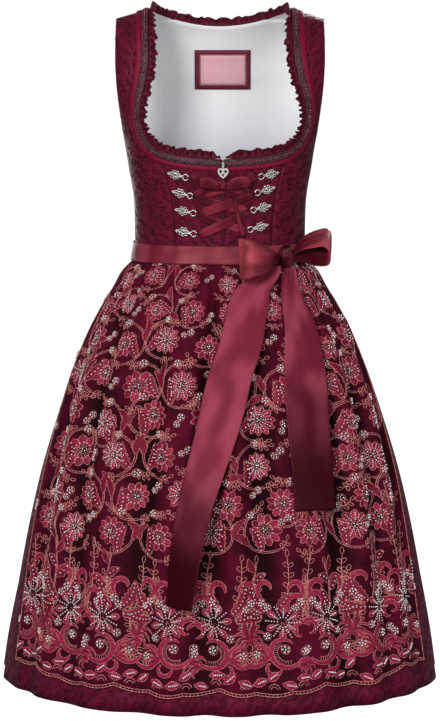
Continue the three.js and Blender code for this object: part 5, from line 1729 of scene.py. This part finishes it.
def vine_zone(work, rng):
    """Tall sprigs and hooked stems that stand between the border and the flowers."""
    for n, line in enumerate(np.linspace(-APRON_REACH + 5, APRON_REACH - 5, 20)):
        mirror = bool(n % 2)
        level = VINE_LEVEL - hem_rise(line)
        reach = rng.uniform(62, 86)
        work.move(line, level, rng.uniform(-10, 10), 1.0, mirror)
        tall = np.stack([5 * np.sin(np.linspace(0, 3, 12)), -np.linspace(0, reach, 12)], axis=1)
        if n % 3 == 2:
            work.vine(tall, 0.9)
            work.leaf(26, 14, -40, tall[4], 0.2, 4, 4)
            work.leaf(24, 13, -140, tall[6], 0.2, 4, 4)
            work.leaf(22, 12, -60, tall[9])
        else:
            work.cord(tall, 0.6)
            for step in range(3, 11, 2):
                for side in (-1, 1):
                    work.oval(9.5, 5.4, -90 + side * 52, tall[step])
        work.oval(9.5, 5.6, -90, tall[-1])
        work.move(line + 3.6, level, rng.uniform(-8, 8), 1.0, mirror)
        work.scroll((0, -32), 14, 60, -190, 7.5, False)
        work.cluster((9, -14), 3.6)
        work.cluster((1, -6), 3.2)
        work.sprig(30, -80, (12, -14), 4, 8.5)


def border_unit(work, rng, line, mirror):
    """Scrolls with combs, feathers, and a starburst with leaves."""
    top = APRON_HEM - hem_rise(line) - 100
    lean = rng.uniform(-6, 6)
    work.move(line, top, lean, 1.0, mirror)
    for values in BORDER_SCROLLS:
        work.scroll(*values)
    for values in BORDER_FANS:
        work.fan(*values)
    work.leaf(24, 12, -70, (40, 28))
    for x, y, size in BORDER_CLUSTERS:
        work.cluster((x, y), size)
    for x, y, angle in BORDER_SPRIGS:
        work.sprig(24, angle, (x, y), 3, 8.5)
    for reach in (9, 13, 17):
        work.cord(circle(reach, 12, (42, 66), 170, 300, False))
    work.move(line + (1.8 if mirror else -1.8), top + 4, rng.uniform(0, 30), 1.0, mirror)
    work.starburst(25)
    work.move(line, top - 16, lean, 1.0, mirror)
    work.leaf(44, 19, -58, (16, 8), 0.25, 5, 8)
    work.leaf(36, 17, -14, (20, 16), 0.25, 5, 7)
    work.leaf(30, 15, -118, (0, 2), -0.2, 4, 5)
    work.scroll((-28, -8), 16, 60, -180, 7.0, False)


def almond_row(work, rng):
    """Pointed shapes with bright beads that follow the scallops."""
    for n, line in enumerate(np.arange(-APRON_REACH + 3, APRON_REACH - 3, 4.6)):
        hem = float(apron_hem(line))
        work.move(float(line), hem - 17 - 7 * (n % 2), 0, 1.0, False)
        work.almond(rng.uniform(20, 24), (-34, 18, -8)[n % 3] + rng.uniform(-8, 8), (-10, 0))
        if n % 2:
            work.cord(circle(8, 10, (0, 12), 190, 350, False), 0.5)
            work.cord(circle(5, 8, (0, 13), 190, 350, False), 0.45)


def hem_edge(work):
    """Two cords along the scallops with short stitches between them."""
    line = np.linspace(-APRON_REACH + 0.4, APRON_REACH - 0.4, 420)
    hem = apron_hem(line)
    for inside, radius in ((1.6, 0.8), (5.6, 0.5)):
        edge_cord(work, line, hem - inside, radius)
    for n in range(0, len(line) - 1, 3):
        for step in (0, 1):
            edge_cord(work, np.full(2, line[n]) + 0.05 * step, np.array([hem[n] - 5.2, hem[n] - 2.0]), 0.34)
    for side in (-1, 1):
        h = np.linspace(SKIRT_TOP + 12, apron_hem(side * APRON_REACH) - 2, 160)
        edge_cord(work, np.full_like(h, side * (APRON_REACH - 0.5)), h, 0.6)


def edge_cord(work, line, h, radius):
    """Cord given by its places on the cloth themselves."""
    middle = float(np.mean(line)), float(np.mean(h))
    across, down = cloth_metric(*middle)
    work.here = (0.0, 0.0, 0.0, 1.0, 1, across, down)
    work.cord(np.stack([line * across, h * down], axis=1), radius)


def make_embroidery(threads, beads):
    rng = np.random.default_rng(SEED)
    work = Embroidery()
    upper_field(work, rng)
    vine_zone(work, rng)
    for n, line in enumerate(np.linspace(-APRON_REACH + 9, APRON_REACH - 9, 9)):
        border_unit(work, rng, float(line), bool(n % 2))
    almond_row(work, rng)
    hem_edge(work)
    work.build(threads, beads)


make_stage()
LINING = lining_finish()
JACQUARD = figured_finish("bodice_jacquard", 0.011, (30.0, 4.0), (420.0, 2.0, 0.48, 0.66), (0.7, 0.55),
                          ("360818", "4a0c22", "5c1029", "741536", "93193f"), False)
BROCADE = figured_finish("skirt_brocade", 0.012, (22.0, 5.0, 0.6), (330.0, 3.0, 0.45, 0.68), (0.6, 0.6),
                         ("47081f", "5e0c2c", "710f35", "861543", "3a0718"), True)
SATIN = satin_finish("satin", "bc4a58", "74202e")
# darker copy of the bow's satin for its knot: painted shade
SHADED_KNOT_SATIN = satin_finish("satin_knot_painted_shade", "7c2634", "2c060c")
BAND = satin_finish("satin_band", "963c4a", "741e2e")
LACING = satin_finish("satin_lacing", "8a2a3a", "54121e")
# satins of the tails with painted shade that darkens each one's lower part between the two heights given
LEFT_TAIL = satin_finish("satin_left_tail", "a84658", "842a3c", (-0.75, -0.57), 0.12)
RIGHT_TAIL = satin_finish("satin_right_tail", "a84658", "7c2436", (-0.63, -0.41), 0.15)
SILVER = silver_finish()
THREAD = plain_finish("thread", "5c1028", "7a1b38", 0.5)
make_bodice(JACQUARD, LINING)
make_skirt(BROCADE)
make_apron(net_finish())
make_embroidery(
    [plain_finish("raspberry_thread", "4a081c", "981d3c", 0.5, 700.0, tint=RED_SHINE),
     plain_finish("rose_thread", "6a0e2c", "bc3056", 0.5, 700.0, tint=RED_SHINE),
     plain_finish("pale_cord", "a44852", "ec9c94", 0.5, 500.0)],
    [plain_finish("pearls", "f0c8cc", "fbe6e6", 0.2, specular=0.7, coat=0.5),
     plain_finish("crystals", "ffffff", "f2e4e6", 0.1, specular=1.0, coat=0.8),
     plain_finish("dark_beads", "1d0b12", "3b2028", 0.15, specular=0.8, coat=0.6)])
make_neck_ribbon(plain_finish("neck_ribbon", "6a0826", "880d36", 0.5, 600.0, tint=RED_SHINE))
make_neck_braid(plain_finish("braid", "160308", "260710", 0.5),
                plain_finish("glass_beads", "2a0812", "b06a7c", 0.12, specular=0.8, coat=0.6), THREAD)
make_frill(plain_finish("frill", "36081a", "64122c", 0.55, 250.0, tint=RED_SHINE), THREAD)
make_lining(LINING)
make_label(plain_finish("label_border", "5e1228", "7a1d37", 0.6),
           plain_finish("label_field", "e2a2ac", "eebac0", 0.6, 900.0),
           [THREAD, plain_finish("label_thread", "c9848f", "dba0a8", 0.5)])
make_zip(plain_finish("zip_tape", "2e0913", "431020", 0.6), plain_finish("zip_teeth", "3c0c18", "6a2834", 0.35))
make_hooks(SILVER)
make_laces(LACING)
make_lace_bow(LACING)
make_waist_ribbon(BAND)
make_bow(SATIN, SHADED_KNOT_SATIN, LEFT_TAIL, RIGHT_TAIL)
for name, metal in (("zip_slider", plain_finish("dark_metal", "4a4040", "6e6464", 0.35)), ("zip_pull", SILVER)):
    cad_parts[name].data.materials.clear()
    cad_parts[name].data.materials.append(metal)
